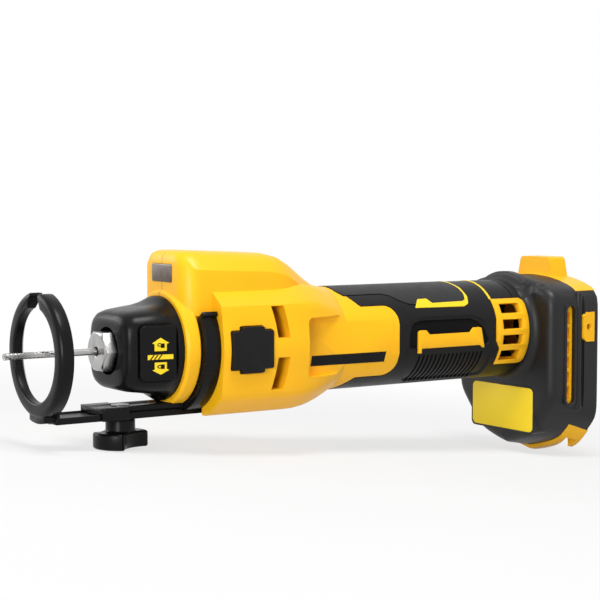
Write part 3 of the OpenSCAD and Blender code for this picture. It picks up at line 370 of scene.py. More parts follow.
def turned(name, low, high, rough, lines):
    """Turned metal: fine rings round the tool's axis, with duller patches."""
    material, tree, shader, place = new_finish(name)
    shader.inputs["Metallic"].default_value = 1
    stretch = tree.nodes.new("ShaderNodeMapping")
    stretch.inputs["Scale"].default_value = (lines, RING_STRETCH, RING_STRETCH)
    tree.links.new(place, stretch.inputs["Vector"])
    rings = noise(tree, stretch.outputs["Vector"], *TURNED_RINGS)
    tree.links.new(blend_colours(tree, rings, low, high), shader.inputs["Base Color"])
    gloss = patchy(tree, place, TURNED_GLOSS, rough - TURNED_BELOW, rough + TURNED_ABOVE)
    tree.links.new(gloss, shader.inputs["Roughness"])
    normal = bumped(tree, rings, RING_STRENGTH, RING_DEPTH, rounded_normal(tree))
    tree.links.new(normal, shader.inputs["Normal"])
    return material


def yellow_plastic():
    """Yellow mouldings without a parting line."""
    hue = colours()
    return moulded(
        "yellow_moulding", hue.yellow_deep, hue.yellow, rough=0.36, grain=2600, depth=0.00003, specular=0.22
    )


def yellow_shell():
    """Yellow halves of the housing, with their parting line."""
    hue = colours()
    return moulded(
        "yellow_shell",
        hue.yellow_deep,
        hue.yellow,
        rough=0.36,
        grain=2600,
        depth=0.00003,
        specular=0.22,
        seam=True,
    )


def lemon_inlay():
    """Paler yellow of the plate, the lines and the prints."""
    hue = colours()
    return moulded(
        "lemon_inlay", hue.lemon_deep, hue.lemon, rough=0.42, grain=3000, depth=0.00003, specular=0.3
    )


def soft_black():
    """Soft black cover, with painted shade in the hollow round the badge, where its sheen is lowered."""
    hue = colours()
    return moulded(
        "soft_black_cover",
        hue.rubber_deep,
        hue.rubber,
        rough=0.38,
        grain=1700,
        depth=0.00007,
        specular=0.15,
        seam=True,
        hollow=True,
    )


def foot_black():
    """Black shells of the foot, with their parting line."""
    hue = colours()
    return moulded(
        "soft_black_foot",
        hue.rubber_deep,
        hue.rubber,
        rough=0.42,
        grain=1900,
        depth=0.00005,
        specular=0.32,
        seam=True,
    )


def panel_black():
    """Coarse grain of the panel on top of the grip."""
    hue = colours()
    return moulded(
        "black_panel_grain",
        hue.rubber_deep,
        hue.rubber,
        rough=0.50,
        grain=1100,
        depth=0.00030,
        specular=0.32,
        seam=True,
    )


def groove_black():
    """Matt black standing for shadow: painted shade in the grooves and on the sleeve behind the vents."""
    hue = colours()
    return moulded(
        "groove_shadow", hue.black_deep, hue.black, rough=0.85, grain=1500, depth=0.00005, specular=0.05
    )


def black_plastic():
    """Smooth black mouldings and black prints."""
    hue = colours()
    return moulded(
        "black_moulding", hue.black_deep, hue.black, rough=0.28, grain=2400, depth=0.00003, specular=0.13
    )


def black_metal():
    """Black paint on the depth guide's strap."""
    hue = colours()
    return moulded(
        "black_paint", hue.black_deep, hue.black, rough=0.26, grain=1900, depth=0.00003, specular=0.14
    )


THREAD_PITCH = 0.0009
THREAD_DEPTH = 0.0004
THREAD_METAL = 0.8
# Roughness in the thread's root and on its crest
THREAD_ROUGH = (0.5, 0.3)
# Length of one band of the wave texture at a scale of one
WAVE_BAND = math.pi / 10


def black_thread():
    """Black metal with a screw thread along its length."""
    hue = colours()
    material, tree, shader, place = new_finish("black_thread")
    shader.inputs["Metallic"].default_value = THREAD_METAL
    wave = tree.nodes.new("ShaderNodeTexWave")
    wave.bands_direction = "Z"
    wave.inputs["Scale"].default_value = WAVE_BAND / THREAD_PITCH
    wave.inputs["Distortion"].default_value = 0
    tree.links.new(place, wave.inputs["Vector"])
    crest = wave.outputs["Fac"]
    tree.links.new(blend_colours(tree, crest, hue.black_deep, hue.steel_deep), shader.inputs["Base Color"])
    tree.links.new(remap(tree, crest, 0, 1, *THREAD_ROUGH), shader.inputs["Roughness"])
    normal = bumped(tree, crest, 1, THREAD_DEPTH, rounded_normal(tree))
    tree.links.new(normal, shader.inputs["Normal"])
    return material


def steel():
    """Turned steel of the nut, bit, shaft, bearings and screws."""
    hue = colours()
    return turned("turned_steel", hue.steel_deep, hue.steel, rough=0.24, lines=2200)


def motor_iron():
    """Stacked iron of the stator and rotor."""
    return turned(
        "laminated_iron", low=(0.16, 0.165, 0.17), high=(0.27, 0.28, 0.29), rough=0.45, lines=2600
    )


def copper():
    """Enamelled wire of the stator's coils."""
    return turned(
        "enamelled_copper", low=(0.48, 0.19, 0.07), high=(0.70, 0.33, 0.14), rough=0.34, lines=900
    )


def brass():
    """Contacts and the knob's threaded bush."""
    return turned("plain_brass", low=(0.62, 0.43, 0.15), high=(0.78, 0.58, 0.24), rough=0.3, lines=1500)


def circuit_board():
    """Green lacquer of the two boards."""
    return moulded(
        "board_lacquer",
        low=(0.03, 0.12, 0.05),
        high=(0.06, 0.20, 0.09),
        rough=0.35,
        grain=900,
        depth=0.00005,
        specular=0.5,
    )


# Lower and upper edge of the lamp window, and the shade at each
LAMP_EDGES = (0.0316, 0.0400)
LAMP_SHADES = (0.1, 0.9)
LAMP_DARK = (0.080, 0.048, 0.030)
LAMP_PALE = (0.150, 0.118, 0.100)
# Noise of the window: scale per metre and detail
LAMP_PATCHES = (260, 2)
LAMP_GLOSS = (160, 2)
LAMP_PATCH = 0.12
LAMP_ROUGH = (0.18, 0.28)
LAMP_COAT = 0.15
LAMP_COAT_ROUGH = 0.08


def lamp_lens():
    """Smoked window, lighter towards its top."""
    material, tree, shader, place = new_finish("lamp_window_smoke")
    shader.inputs["Coat Weight"].default_value = LAMP_COAT
    shader.inputs["Coat Roughness"].default_value = LAMP_COAT_ROUGH
    height = remap(tree, axis_of(tree, place, "Z"), *LAMP_EDGES, *LAMP_SHADES)
    patch = patchy(tree, place, LAMP_PATCHES, -LAMP_PATCH, LAMP_PATCH)
    total = tree.nodes.new("ShaderNodeMath")
    total.operation = "ADD"
    tree.links.new(height, total.inputs[0])
    tree.links.new(patch, total.inputs[1])
    colour = blend_colours(tree, total.outputs[0], LAMP_DARK, LAMP_PALE)
    tree.links.new(colour, shader.inputs["Base Color"])
    tree.links.new(patchy(tree, place, LAMP_GLOSS, *LAMP_ROUGH), shader.inputs["Roughness"])
    tree.links.new(rounded_normal(tree), shader.inputs["Normal"])
    return material


FINISHES = {
    "yellow_plastic": yellow_plastic,
    "yellow_shell": yellow_shell,
    "lemon_inlay": lemon_inlay,
    "soft_black": soft_black,
    "foot_black": foot_black,
    "panel_black": panel_black,
    "groove_black": groove_black,
    "black_plastic": black_plastic,
    "black_metal": black_metal,
    "black_thread": black_thread,
    "steel": steel,
    "motor_iron": motor_iron,
    "copper": copper,
    "brass": brass,
    "circuit_board": circuit_board,
    "lamp_lens": lamp_lens,
}
made_finishes = {}


def finish(name):
    """The material of that name, made the first time it is asked for."""
    if name not in made_finishes:
        made_finishes[name] = FINISHES[name]()
    return made_finishes[name]


# Modelling helpers


def select_only(piece):
    """Selects one piece and makes it the active one."""
    bpy.ops.object.select_all(action="DESELECT")
    piece.select_set(True)
    bpy.context.view_layer.objects.active = piece


def edit(piece):
    """Opens a piece for editing with everything selected."""
    select_only(piece)
    bpy.ops.object.mode_set(mode="EDIT")
    bpy.ops.mesh.select_all(action="SELECT")


def leave_edit():
    """Closes the piece that is open for editing."""
    bpy.ops.object.mode_set(mode="OBJECT")


def apply_modifier(piece, kind, **settings):
    """Adds a modifier with these settings and applies it."""
    select_only(piece)
    bpy.ops.object.modifier_add(type=kind)
    modifier = piece.modifiers[-1]
    for key, value in settings.items():
        setattr(modifier, key, value)
    bpy.ops.object.modifier_apply(modifier=modifier.name)


def apply_place(piece):
    """Moves a primitive's place and turn into its mesh."""
    select_only(piece)
    bpy.ops.object.transform_apply(location=True, rotation=True, scale=True)


def smooth(piece):
    """Shades a piece smooth up to its edges."""
    select_only(piece)
    bpy.ops.object.shade_smooth_by_angle(angle=SMOOTH_ANGLE)


def face_out(piece):
    """Welds a piece and turns its faces outward."""
    edit(piece)
    bpy.ops.mesh.remove_doubles(threshold=WELD)
    bpy.ops.mesh.normals_make_consistent(inside=False)
    leave_edit()


def join(pieces):
    """Several objects as one."""
    select_only(pieces[0])
    for piece in pieces[1:]:
        piece.select_set(True)
    bpy.ops.object.join()
    return pieces[0]


def carve(piece, cutter):
    """Cuts one object out of another."""
    apply_modifier(piece, "BOOLEAN", object=cutter, operation="DIFFERENCE", solver="EXACT")
    bpy.data.objects.remove(cutter)
    if not piece.data.polygons:
        raise RuntimeError(f"cutting {piece.name} left nothing of it")


def mounted(piece, name, body, material):
    """Names a piece, gives it its finish and lets it ride on a body."""
    piece.name = name
    piece.data.name = name
    piece.data.materials.clear()
    piece.data.materials.append(material)
    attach(piece, body)
    return piece


def node_copy(node):
    """A copy of a CAD node with its seams welded."""
    select_only(frame["nodes"][node])
    bpy.ops.object.duplicate()
    piece = bpy.context.active_object
    piece.parent = None
    del piece["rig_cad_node"]
    del piece["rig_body"]
    edit(piece)
    bpy.ops.mesh.customdata_custom_splitnormals_clear()
    leave_edit()
    face_out(piece)
    return piece


def merge_flats(piece):
    """Makes each flat side of a piece one face."""
    edit(piece)
    bpy.ops.mesh.dissolve_limited(angle_limit=FLAT_ANGLE)
    leave_edit()


def round_edges(piece, width, segments):
    """Rounds the sharp edges of a piece."""
    merge_flats(piece)
    apply_modifier(
        piece,
        "BEVEL",
        width=width,
        segments=segments,
        limit_method="ANGLE",
        angle_limit=EDGE_ANGLE,
        use_clamp_overlap=False,
    )


def stand_in(piece, node, name, material):
    """Smooths a piece and lets it stand for a CAD node on that node's body."""
    smooth(piece)
    mounted(piece, name, frame["nodes"][node]["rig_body"], material)
    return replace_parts(piece, node)


def dress(node, name, width=0, material=None, segments=EDGE_SEGMENTS):
    """Stands in for a CAD node with a copy whose edges are rounded where a width is given."""
    piece = node_copy(node)
    if width:
        round_edges(piece, width, segments)
    return stand_in(piece, node, name, material or finish(SLOTS[node]))


def flat_face(points):
    """An object holding one face with this outline, drawn on the first two axes."""
    bpy.ops.object.select_all(action="DESELECT")
    bpy.ops.mesh.primitive_circle_add(vertices=len(points), fill_type="NGON")
    piece = bpy.context.active_object
    for vertex, point in zip(piece.data.vertices, points):
        vertex.co = (*point, 0)
    return piece


def round_corners(piece, radius):
    """Rounds the corners of a flat face."""
    edit(piece)
    bpy.ops.mesh.bevel(offset=radius, segments=CORNER_SEGMENTS, affect="VERTICES", clamp_overlap=True)
    leave_edit()


def plate(points, thickness, place):
    """A thin plate with this outline in millimetres, laid in the frame that place gives."""
    piece = flat_face([(u * MM, v * MM) for u, v in points])
    apply_modifier(piece, "SOLIDIFY", thickness=thickness, offset=0)
    piece.data.transform(place)
    face_out(piece)
    return piece


def frame_at(centre, along, up, side):
    """The frame of a surface: its middle, its two directions and the side of the tool it is on."""
    mirror = Matrix.Scale(-1, 4, LEFT) if side == "right" else Matrix.Identity(4)
    normal = along.cross(up)
    axes = Matrix((along, up, normal)).transposed().to_4x4()
    return mirror @ Matrix.Translation(centre) @ axes


# Radius of the grip in millimetres, and degrees of turn between the bends of a wrapped band
GRIP_R = 26.4
STRIP_STEP = 3.0


def wrapped(points, radius, thickness, corner=0):
    """A band wrapped round the tool's axis, its outline in millimetres along X and degrees of turn."""
    arc = radius * math.radians(1)
    piece = flat_face([(x * MM, angle * arc * MM) for x, angle in points])
    if corner:
        round_corners(piece, corner)
    edit(piece)
    bpy.ops.mesh.quads_convert_to_tris()
    lowest = min(angle for _, angle in points)
    highest = max(angle for _, angle in points)
    for i in range(1, math.ceil((highest - lowest) / STRIP_STEP)):
        bpy.ops.mesh.select_all(action="SELECT")
        height = (lowest + i * STRIP_STEP) * arc * MM
        bpy.ops.mesh.bisect(plane_co=(0, height, 0), plane_no=LEFT)
    leave_edit()
    for vertex in piece.data.vertices:
        turn = vertex.co.y / (radius * MM)
        vertex.co = (vertex.co.x, radius * MM * math.cos(turn), radius * MM * math.sin(turn))
    face_out(piece)
    apply_modifier(piece, "SOLIDIFY", thickness=thickness, offset=0)
    face_out(piece)
    return piece


def flared(piece, points, radius, share):
    """Widens the outer face of a wrapped band by a share of its size, so its walls slope."""
    middle = [(min(axis) + max(axis)) / 2 for axis in zip(*points)]
    centre = math.radians(middle[1]) % math.tau
    for vertex in piece.data.vertices:
        reach = math.hypot(vertex.co.y, vertex.co.z)
        if reach > radius * MM:
            turn = math.atan2(vertex.co.z, vertex.co.y) % math.tau
            off = (turn - centre + math.pi) % math.tau - math.pi
            wide = centre + off * (1 + share)
            x = middle[0] * MM + (vertex.co.x - middle[0] * MM) * (1 + share)
            vertex.co = (x, reach * math.cos(wide), reach * math.sin(wide))


def across_top(path):
    """The same path on the other half of the tool, run backwards."""
    return [(x, HALF_TURN - angle) for x, angle in reversed(path)]


# Keeps the mitre of a sharp corner within twice the gap
MITRE_LEAST = 0.5


def grown(points, gap):
    """A wrapped outline moved outward by a gap in millimetres."""
    turn = math.degrees(1 / GRIP_R)
    flat = [Vector((x, angle / turn)) for x, angle in points]
    count = len(flat)
    area = sum(flat[i].cross(flat[(i + 1) % count]) for i in range(count))
    sign = 1 if area > 0 else -1
    moved = []
    for i in range(count):
        before = (flat[i] - flat[i - 1]).normalized()
        after = (flat[(i + 1) % count] - flat[i]).normalized()
        out = Vector((before.y + after.y, -before.x - after.x)) * sign
        shift = out.normalized() * gap / max(MITRE_LEAST, math.sqrt((1 + before.dot(after)) / 2))
        moved.append((flat[i].x + shift.x, (flat[i].y + shift.y) * turn))
    return moved


# Pieces


class CutterPiece(bpy.types.Operator):
    """Shared settings of the piece operators."""

    bl_options = {"REGISTER", "UNDO"}


class CUTTER_OT_shell(CutterPiece):
    """Dresses the two halves of the yellow housing"""

    bl_idname = "cutter.shell"
    bl_label = "Yellow housing"

    def execute(self, context):
        for side in SIDES:
            dress(f"housing_{side}", f"housing_shell_{side}", material=finish("yellow_shell"))
        return {"FINISHED"}


# A matt black sleeve behind the vents stands for the shade inside the head: painted shade
VENT_SLEEVE_R = 0.0236
VENT_SLEEVE_X = 0.2028
VENT_SLEEVE_LEN = 0.0108
VENT_SLEEVE_WALL = 0.0008
VENT_SLEEVE_SIDES = 64
# Height above and below the axis where the sleeve is cut open
VENT_SLEEVE_TOP = 0.0222


class CUTTER_OT_vent_shade_sleeve(CutterPiece):
    """Adds a dark sleeve round the fan behind the head's vents, a painted shade for the inside seen through
    them
    """

    bl_idname = "cutter.vent_sleeve"
    bl_label = "Vent sleeve"

    def execute(self, context):
        bpy.ops.object.select_all(action="DESELECT")
        bpy.ops.mesh.primitive_cylinder_add(
            vertices=VENT_SLEEVE_SIDES,
            radius=VENT_SLEEVE_R,
            depth=VENT_SLEEVE_LEN,
            end_fill_type="NOTHING",
            location=(VENT_SLEEVE_X, 0, 0),
            rotation=(0, math.pi / 2, 0),
        )
        sleeve = context.active_object
        apply_place(sleeve)
        for sign in (-1, 1):
            edit(sleeve)
            bpy.ops.mesh.bisect(plane_co=sign * VENT_SLEEVE_TOP * UP, plane_no=sign * UP, clear_outer=True)
            leave_edit()
        apply_modifier(sleeve, "SOLIDIFY", thickness=VENT_SLEEVE_WALL, offset=0)
        face_out(sleeve)
        smooth(sleeve)
        mounted(sleeve, "vent_sleeve", "housing", finish("groove_black"))
        return {"FINISHED"}


STRIP_OUTLINE = [(178.3, -5.9), (133.0, -6.1), (134.5, -11.2), (179.2, -10.9)]
PANEL_FLOOR = 0.0245
# Prints lie half in the surface, so a print of two layers stands proud by the sign thickness
PRINT_LAYERS = 2
MARK_LAYERS = 3


class CUTTER_OT_side_stripes(CutterPiece):
    """Adds the plain black stripe on each yellow side panel"""

    bl_idname = "cutter.side_stripes"
    bl_label = "Side stripes"

    def execute(self, context):
        for side in SIDES:
            place = frame_at(PANEL_FLOOR * LEFT, FORWARD, UP, side)
            stripe = plate(STRIP_OUTLINE, PRINT_LAYERS * sizes().sign_t, place)
            mounted(stripe, f"panel_stripe_{side}", "housing", finish("black_plastic"))
        return {"FINISHED"}


# Left side of the field that holds badge and ribs, and of the hollow above the badge
RECESS_SIDE = [
    (119.5, 4.4),
    (116.8, 17.4),
    (111.9, 21.4),
    (77.9, 21.1),
    (72.3, 17.6),
    (67.6, 8.0),
    (64.6, -6.0),
    (63.6, -18.5),
    (63.6, -62.0),
    (113.8, -62.0),
    (116.3, -47.0),
    (119.2, -18.0),
]
HOLLOW_SIDE = [
    (117.6, -12.5),
    (117.8, 4.0),
    (115.4, 15.2),
    (111.0, 18.8),
    (78.8, 18.6),
    (74.0, 15.4),
    (69.8, 7.0),
    (66.8, -6.0),
    (66.0, -12.5),
]
# Thickness of the tools that carve both, their corners, and how far their walls slope
CARVER_T = 0.003
RECESS_CORNER = 0.0022
RECESS_FLARE = 0.12


class CUTTER_OT_grip(CutterPiece):
    """Dresses the soft covers of the grip and hollows them round the badge"""

    bl_idname = "cutter.grip"
    bl_label = "Grip covers"

    def execute(self, context):
        for side in SIDES:
            node = f"grip_cover_{side}"
            piece = node_copy(node)
            for path, depth in ((RECESS_SIDE, sizes().recess_depth), (HOLLOW_SIDE, sizes().hollow_depth)):
                outline = path if side == "left" else across_top(path)
                middle = GRIP_R + (CARVER_T / 2 - depth) / MM
                cutter = wrapped(outline, middle, CARVER_T, RECESS_CORNER)
                flared(cutter, outline, middle, RECESS_FLARE)
                carve(piece, cutter)
            face_out(piece)
            stand_in(piece, node, f"grip_skin_{side}", finish(SLOTS[node]))
        return {"FINISHED"}


# Left half of the front line's two borders and of the panel's border, up to the top
LINE_OUTER = [
    (112.6, 34.2),
    (80.5, 33.2),
    (77.1, 36.6),
    (75.3, 46.5),
    (75.6, 63.2),
    (76.9, 74.7),
    (77.6, 90),
]
LINE_INNER = [
    (78.9, 90),
    (78.2, 75.8),
    (76.9, 63.3),
    (76.6, 51.5),
    (78.1, 42.3),
    (80.2, 40.4),
    (100.5, 39.6),
    (102.8, 46.4),
    (108.8, 45.9),
]
PANEL_SIDE = [
    (78.6, 90),
    (78.0, 75.8),
    (76.7, 63.3),
    (76.4, 51.5),
    (77.9, 42.0),
    (80.0, 40.0),
    (112.4, 39.2),
    (116.0, 40.6),
    (120.2, 45.3),
    (125.2, 54.6),
    (129.5, 57.8),
    (152.4, 57.6),
    (154.5, 66.0),
    (155.0, 78.0),
    (155.0, 90),
]
# Bands across the top: the rear line and the dark seam behind it
REAR_RING = [(60.3, 41), (61.7, 41), (61.7, 139), (60.3, 139)]
REAR_SEAM = [(44.4, 42), (44.9, 42), (44.9, 138), (44.4, 138)]
GROOVE_W = 0.55
LINE_CORNER = 0.0006
# Thickness of each band as a share of the line height, half of it in the cover
FRONT_LINE_SHARE = 2.2
REAR_LINE_SHARE = 2
PANEL_SHARE = 1.6
GROOVE_SHARE = 0.5


class CUTTER_OT_grip_lines(CutterPiece):
    """Adds the grained panel on top of the grip, its groove and the yellow lines that border it"""

    bl_idname = "cutter.grip_lines"
    bl_label = "Grip lines"

    def execute(self, context):
        proud = sizes().line_proud
        outer = LINE_OUTER + across_top(LINE_OUTER)[1:]
        inner = across_top(LINE_INNER) + LINE_INNER[1:]
        line = wrapped(outer + inner, GRIP_R, FRONT_LINE_SHARE * proud, LINE_CORNER)
        mounted(line, "grip_line_front", "housing", finish("lemon_inlay"))
        ring = wrapped(REAR_RING, GRIP_R, REAR_LINE_SHARE * proud)
        mounted(ring, "grip_line_rear", "housing", finish("lemon_inlay"))
        outline = PANEL_SIDE + across_top(PANEL_SIDE)[1:-1]
        panel = wrapped(outline, GRIP_R, PANEL_SHARE * proud)
        mounted(panel, "grip_top_panel", "housing", finish("panel_black"))
        # The groove is a thin matt black band, a painted shade where the groove lies
        groove = wrapped(grown(outline, GROOVE_W), GRIP_R, GROOVE_SHARE * proud)
        mounted(groove, "grip_panel_groove", "housing", finish("groove_black"))
        seam = wrapped(REAR_SEAM, GRIP_R, GROOVE_SHARE * proud)
        mounted(seam, "grip_rear_seam", "housing", finish("groove_black"))
        for piece in (line, ring, panel, groove, seam):
            smooth(piece)
        return {"FINISHED"}


class CUTTER_OT_grip_inlays(CutterPiece):
    """Dresses the air grilles and the bare badges let into the grip"""

    bl_idname = "cutter.grip_inlays"
    bl_label = "Grilles and badges"

    def execute(self, context):
        for side in SIDES:
            dress(f"vent_grille_{side}", f"air_grille_{side}", sizes().edge)
            dress(f"grip_badge_{side}", f"bare_badge_{side}", sizes().metal_edge)
        return {"FINISHED"}


# Thumb hollows on the foot's shoulder beside the grip: middle on the left side, and depth
FOOT_DENTS = (
    (Vector((0.0345, 0.0190, 0.0215)), 0.0008),
    (Vector((0.0310, 0.0268, 0.0222)), 0.0007),
)
DENT_R = 0.0100
DENT_SEGMENTS = 40
DENT_RINGS = 24


def press_dents(piece, side):
    """Presses the shallow round hollows into one half of the foot."""
    flip = -1 if side == "right" else 1
    for middle, depth in FOOT_DENTS:
        point = Vector((middle.x, flip * middle.y, middle.z))
        _, place, normal, _ = piece.closest_point_on_mesh(point)
        bpy.ops.object.select_all(action="DESELECT")
        bpy.ops.mesh.primitive_uv_sphere_add(
            segments=DENT_SEGMENTS,
            ring_count=DENT_RINGS,
            radius=DENT_R,
            location=place + normal * (DENT_R - depth),
        )
        ball = bpy.context.active_object
        apply_place(ball)
        carve(piece, ball)
    face_out(piece)


class CUTTER_OT_foot(CutterPiece):
    """Dresses the foot, its yellow rail frame, strips and plate"""

    bl_idname = "cutter.foot"
    bl_label = "Foot"

    def execute(self, context):
        dress("rail_frame", "rail_bracket")
        dress("rating_plate", "bare_plate", sizes().metal_edge, finish("lemon_inlay"))
        dress("terminal_block", "terminal_carrier", sizes().metal_edge)
        dress("contact_blades", "contact_tongues", sizes().metal_edge)
        for side in SIDES:
            shell = node_copy(f"foot_shell_{side}")
            press_dents(shell, side)
            stand_in(shell, f"foot_shell_{side}", f"foot_skin_{side}", finish("foot_black"))
            dress(f"side_strip_{side}", f"foot_strip_{side}")
            dress(f"hook_pad_{side}", f"hook_seat_{side}")
        return {"FINISHED"}


class CUTTER_OT_collar(CutterPiece):
    """Dresses the bit-change collar and its pads"""

    bl_idname = "cutter.collar"
    bl_label = "Bit-change collar"

    def execute(self, context):
        dress("bit_change_collar", "collar_skin")
        for side in SIDES:
            dress(f"collar_pad_{side}", f"collar_face_{side}", sizes().pad_edge)
        return {"FINISHED"}


# Middle and tilt of the left pad's face, and where the signs lie on it
PAD_MIDDLE = Vector((262.56, 22.98, 0)) * MM
PAD_TILT = math.radians(8)
SIGN_SHIFT = -1.0
UP_ARROW = [(-3.0, 0.95), (3.0, 0.95), (3.0, 4.2), (4.2, 4.6), (0, 7.1), (-4.2, 4.6), (-3.0, 4.2)]
DOWN_ARROW = [(-3.0, -4.3), (-3.0, -7.5), (-4.2, -7.9), (0, -10.0), (4.2, -7.9), (3.0, -7.5), (3.0, -4.3)]
# The bit sign: its bar, the places of its slanted flutes and one flute
BIT_BAR = [(-6.2, -2.95), (6.4, -2.95), (6.4, -0.75), (-6.2, -0.75)]
STRIPES = (1.2, 3.1, 5.0)
STRIPE = [(-0.35, -2.9), (0.35, -2.9), (-1.35, -0.8), (-2.05, -0.8)]
# A padlock lying on its side with its shackle to the nose
LOCK_BODY = [(-1.9, -1.05), (0, -1.05), (0, 1.05), (-1.9, 1.05)]
SHACKLE_OUTER = [(0, -0.8), (1.1, -0.8), (1.7, -0.3), (1.7, 0.3), (1.1, 0.8), (0, 0.8)]
SHACKLE_INNER = [(0, 0.4), (0.9, 0.4), (1.2, 0.15), (1.2, -0.15), (0.9, -0.4), (0, -0.4)]
LOCK_SHACKLE = SHACKLE_OUTER + SHACKLE_INNER
# Height of each padlock, and how far its shackle is shifted to show it open
LOCKS = ((3.4, 0.45), (-6.3, 0))


def shifted(outline, right, up):
    """An outline moved along its two axes."""
    return [(u + right, v + up) for u, v in outline]


class CUTTER_OT_signs(CutterPiece):
    """Prints the lock, unlock and bit signs on the collar's pads"""

    bl_idname = "cutter.signs"
    bl_label = "Collar signs"

    def execute(self, context):
        print_t = PRINT_LAYERS * sizes().sign_t
        mark_t = MARK_LAYERS * sizes().sign_t
        along = Vector((math.cos(PAD_TILT), -math.sin(PAD_TILT), 0))
        shapes = []
        for height, lift in LOCKS:
            shapes += [shifted(LOCK_BODY, 0, height), shifted(LOCK_SHACKLE, 0, height + lift)]
        shapes += [shifted(STRIPE, right, 0) for right in STRIPES]
        for side in SIDES:
            place = frame_at(PAD_MIDDLE + along * SIGN_SHIFT * MM, along, UP, side)
            sign = join([plate(shape, print_t, place) for shape in (UP_ARROW, DOWN_ARROW, BIT_BAR)])
            mounted(sign, f"collar_sign_{side}", "collar", finish("lemon_inlay"))
            marks = join([plate(shape, mark_t, place) for shape in shapes])
            mounted(marks, f"collar_marks_{side}", "collar", finish("black_plastic"))
        return {"FINISHED"}


KNOB_SEGMENTS = 3


class CUTTER_OT_guide(CutterPiece):
    """Dresses the depth guide, its strap, stud and knob"""

    bl_idname = "cutter.guide"
    bl_label = "Depth guide"

    def execute(self, context):
        dress("guide_bracket", "guide_strap", sizes().metal_edge)
        dress("guide_ring", "guide_loop", sizes().edge)
        dress("clamp_stud", "clamp_bolt", sizes().metal_edge, finish("black_thread"))
        dress("clamp_knob", "clamp_wings", sizes().knob_edge, segments=KNOB_SEGMENTS)
        dress("knob_insert", "clamp_bush")
        return {"FINISHED"}


class CUTTER_OT_bit(CutterPiece):
    """Dresses the collet, its nut and the cutting bit"""

    bl_idname = "cutter.bit"
    bl_label = "Collet and bit"

    def execute(self, context):
        dress("collet_nut", "collet_cap", sizes().metal_edge)
        dress("collet", "collet_jaws")
        dress("cutting_bit", "spiral_bit")
        return {"FINISHED"}


# Plane of the screw heads, and the screws' places along X and Z
SCREW_FACE = -0.010
SCREW_PLACES = ((189.0, 34.4), (232.3, 41.2), (188.0, -26.6), (217.8, -26.6))
SOCKET_R = 1.25
SOCKET_LOBE = 0.28
SOCKET_DEPTH = 0.0026
SOCKET_POINTS = 48
SOCKET_LOBES = 6


def socket_outline(x, z):
    """A six-lobed screw socket round a point, in millimetres."""
    outline = []
    for i in range(SOCKET_POINTS):
        turn = math.tau * i / SOCKET_POINTS
        reach = SOCKET_R + SOCKET_LOBE * math.cos(SOCKET_LOBES * turn)
        outline.append((x + reach * math.cos(turn), z + reach * math.sin(turn)))
    return outline


class CUTTER_OT_head(CutterPiece):
    """Dresses the switch pad, lamp window and housing screws"""

    bl_idname = "cutter.head"
    bl_label = "Switch, lamp and screws"

    def execute(self, context):
        dress("switch_pad", "switch_cap", sizes().pad_edge)
        dress("lamp_window", "lamp_face", sizes().metal_edge)
        face = frame_at(SCREW_FACE * LEFT, FORWARD, UP, "left")
        screws = node_copy("housing_screws")
        carve(screws, join([plate(socket_outline(x, z), SOCKET_DEPTH, face) for x, z in SCREW_PLACES]))
        stand_in(screws, "housing_screws", "shell_screws", finish("steel"))
        return {"FINISHED"}


class CUTTER_OT_inside(CutterPiece):
    """Gives every CAD node that still shows its finish"""

    bl_idname = "cutter.inside"
    bl_label = "Inner parts"

    def execute(self, context):
        for name, node in frame["nodes"].items():
            if not node.hide_render:
                node.data.materials.clear()
                node.data.materials.append(finish(SLOTS[name]))
        return {"FINISHED"}


# Stage

# Place and turn of the photo's camera, its lens and its sensor's width in millimetres
EYE = Vector((0.61557, 0.66963, 0.07305))
YAW = math.radians(33.70)
PITCH = math.radians(3.78)
LENS = 96
SENSOR = 36
CLIP_START = 0.01
# The two points of the tool's underside that rest on the floor
FOOT_POINT = Vector((0.0100, 0, -0.0700))
KNOB_POINT = Vector((0.28265, 0, -0.0460))
SOFT_LIGHT = 0.32
AIM = Vector((0.17, 0, 0))
# Name, place, size in metres and power in watts
LAMPS = (
    ("key", Vector((0.22, 0.32, 0.95)), 0.42, 9.0),
    ("fill", Vector((0.98, 0.64, 0.21)), 0.36, 5.4),
    ("side", Vector((0.75, -0.75, 0.35)), 0.5, 3.0),
)


def camera_axes():
    """Right, up and back of the photo's camera."""
    back = Vector((math.sin(YAW) * math.cos(PITCH), math.cos(YAW) * math.cos(PITCH), math.sin(PITCH)))
    right = Vector((-math.cos(YAW), math.sin(YAW), 0))
    return right, back.cross(right), back


def make_camera(scene):
    """Adds the photo's camera."""
    right, up, back = camera_axes()
    bpy.ops.object.camera_add(location=EYE)
    camera = bpy.context.active_object
    camera.name = "photo_camera"
    camera.data.lens = LENS
    camera.data.sensor_width = SENSOR
    camera.data.clip_start = CLIP_START
    camera.rotation_mode = "QUATERNION"
    camera.rotation_quaternion = Matrix((right, up, back)).transposed().to_quaternion()
    scene.camera = camera


def seen_directly(tree):
    """One where a ray comes from the camera, a mirror or a window, and nought elsewhere."""
    path = tree.nodes.new("ShaderNodeLightPath")
    total = path.outputs["Is Camera Ray"]
    for kind in ("Is Glossy Ray", "Is Transmission Ray"):
        larger = tree.nodes.new("ShaderNodeMath")
        larger.operation = "MAXIMUM"
        tree.links.new(total, larger.inputs[0])
        tree.links.new(path.outputs[kind], larger.inputs[1])
        total = larger.outputs[0]
    return total


def mix_shaders(tree, share, low, high, surface):
    """Joins two shaders by the second one's share, and leads them to a surface socket."""
    mix = tree.nodes.new("ShaderNodeMixShader")
    for source, socket in zip((share, low, high), mix.inputs):
        tree.links.new(source, socket)
    tree.links.new(mix.outputs["Shader"], surface)


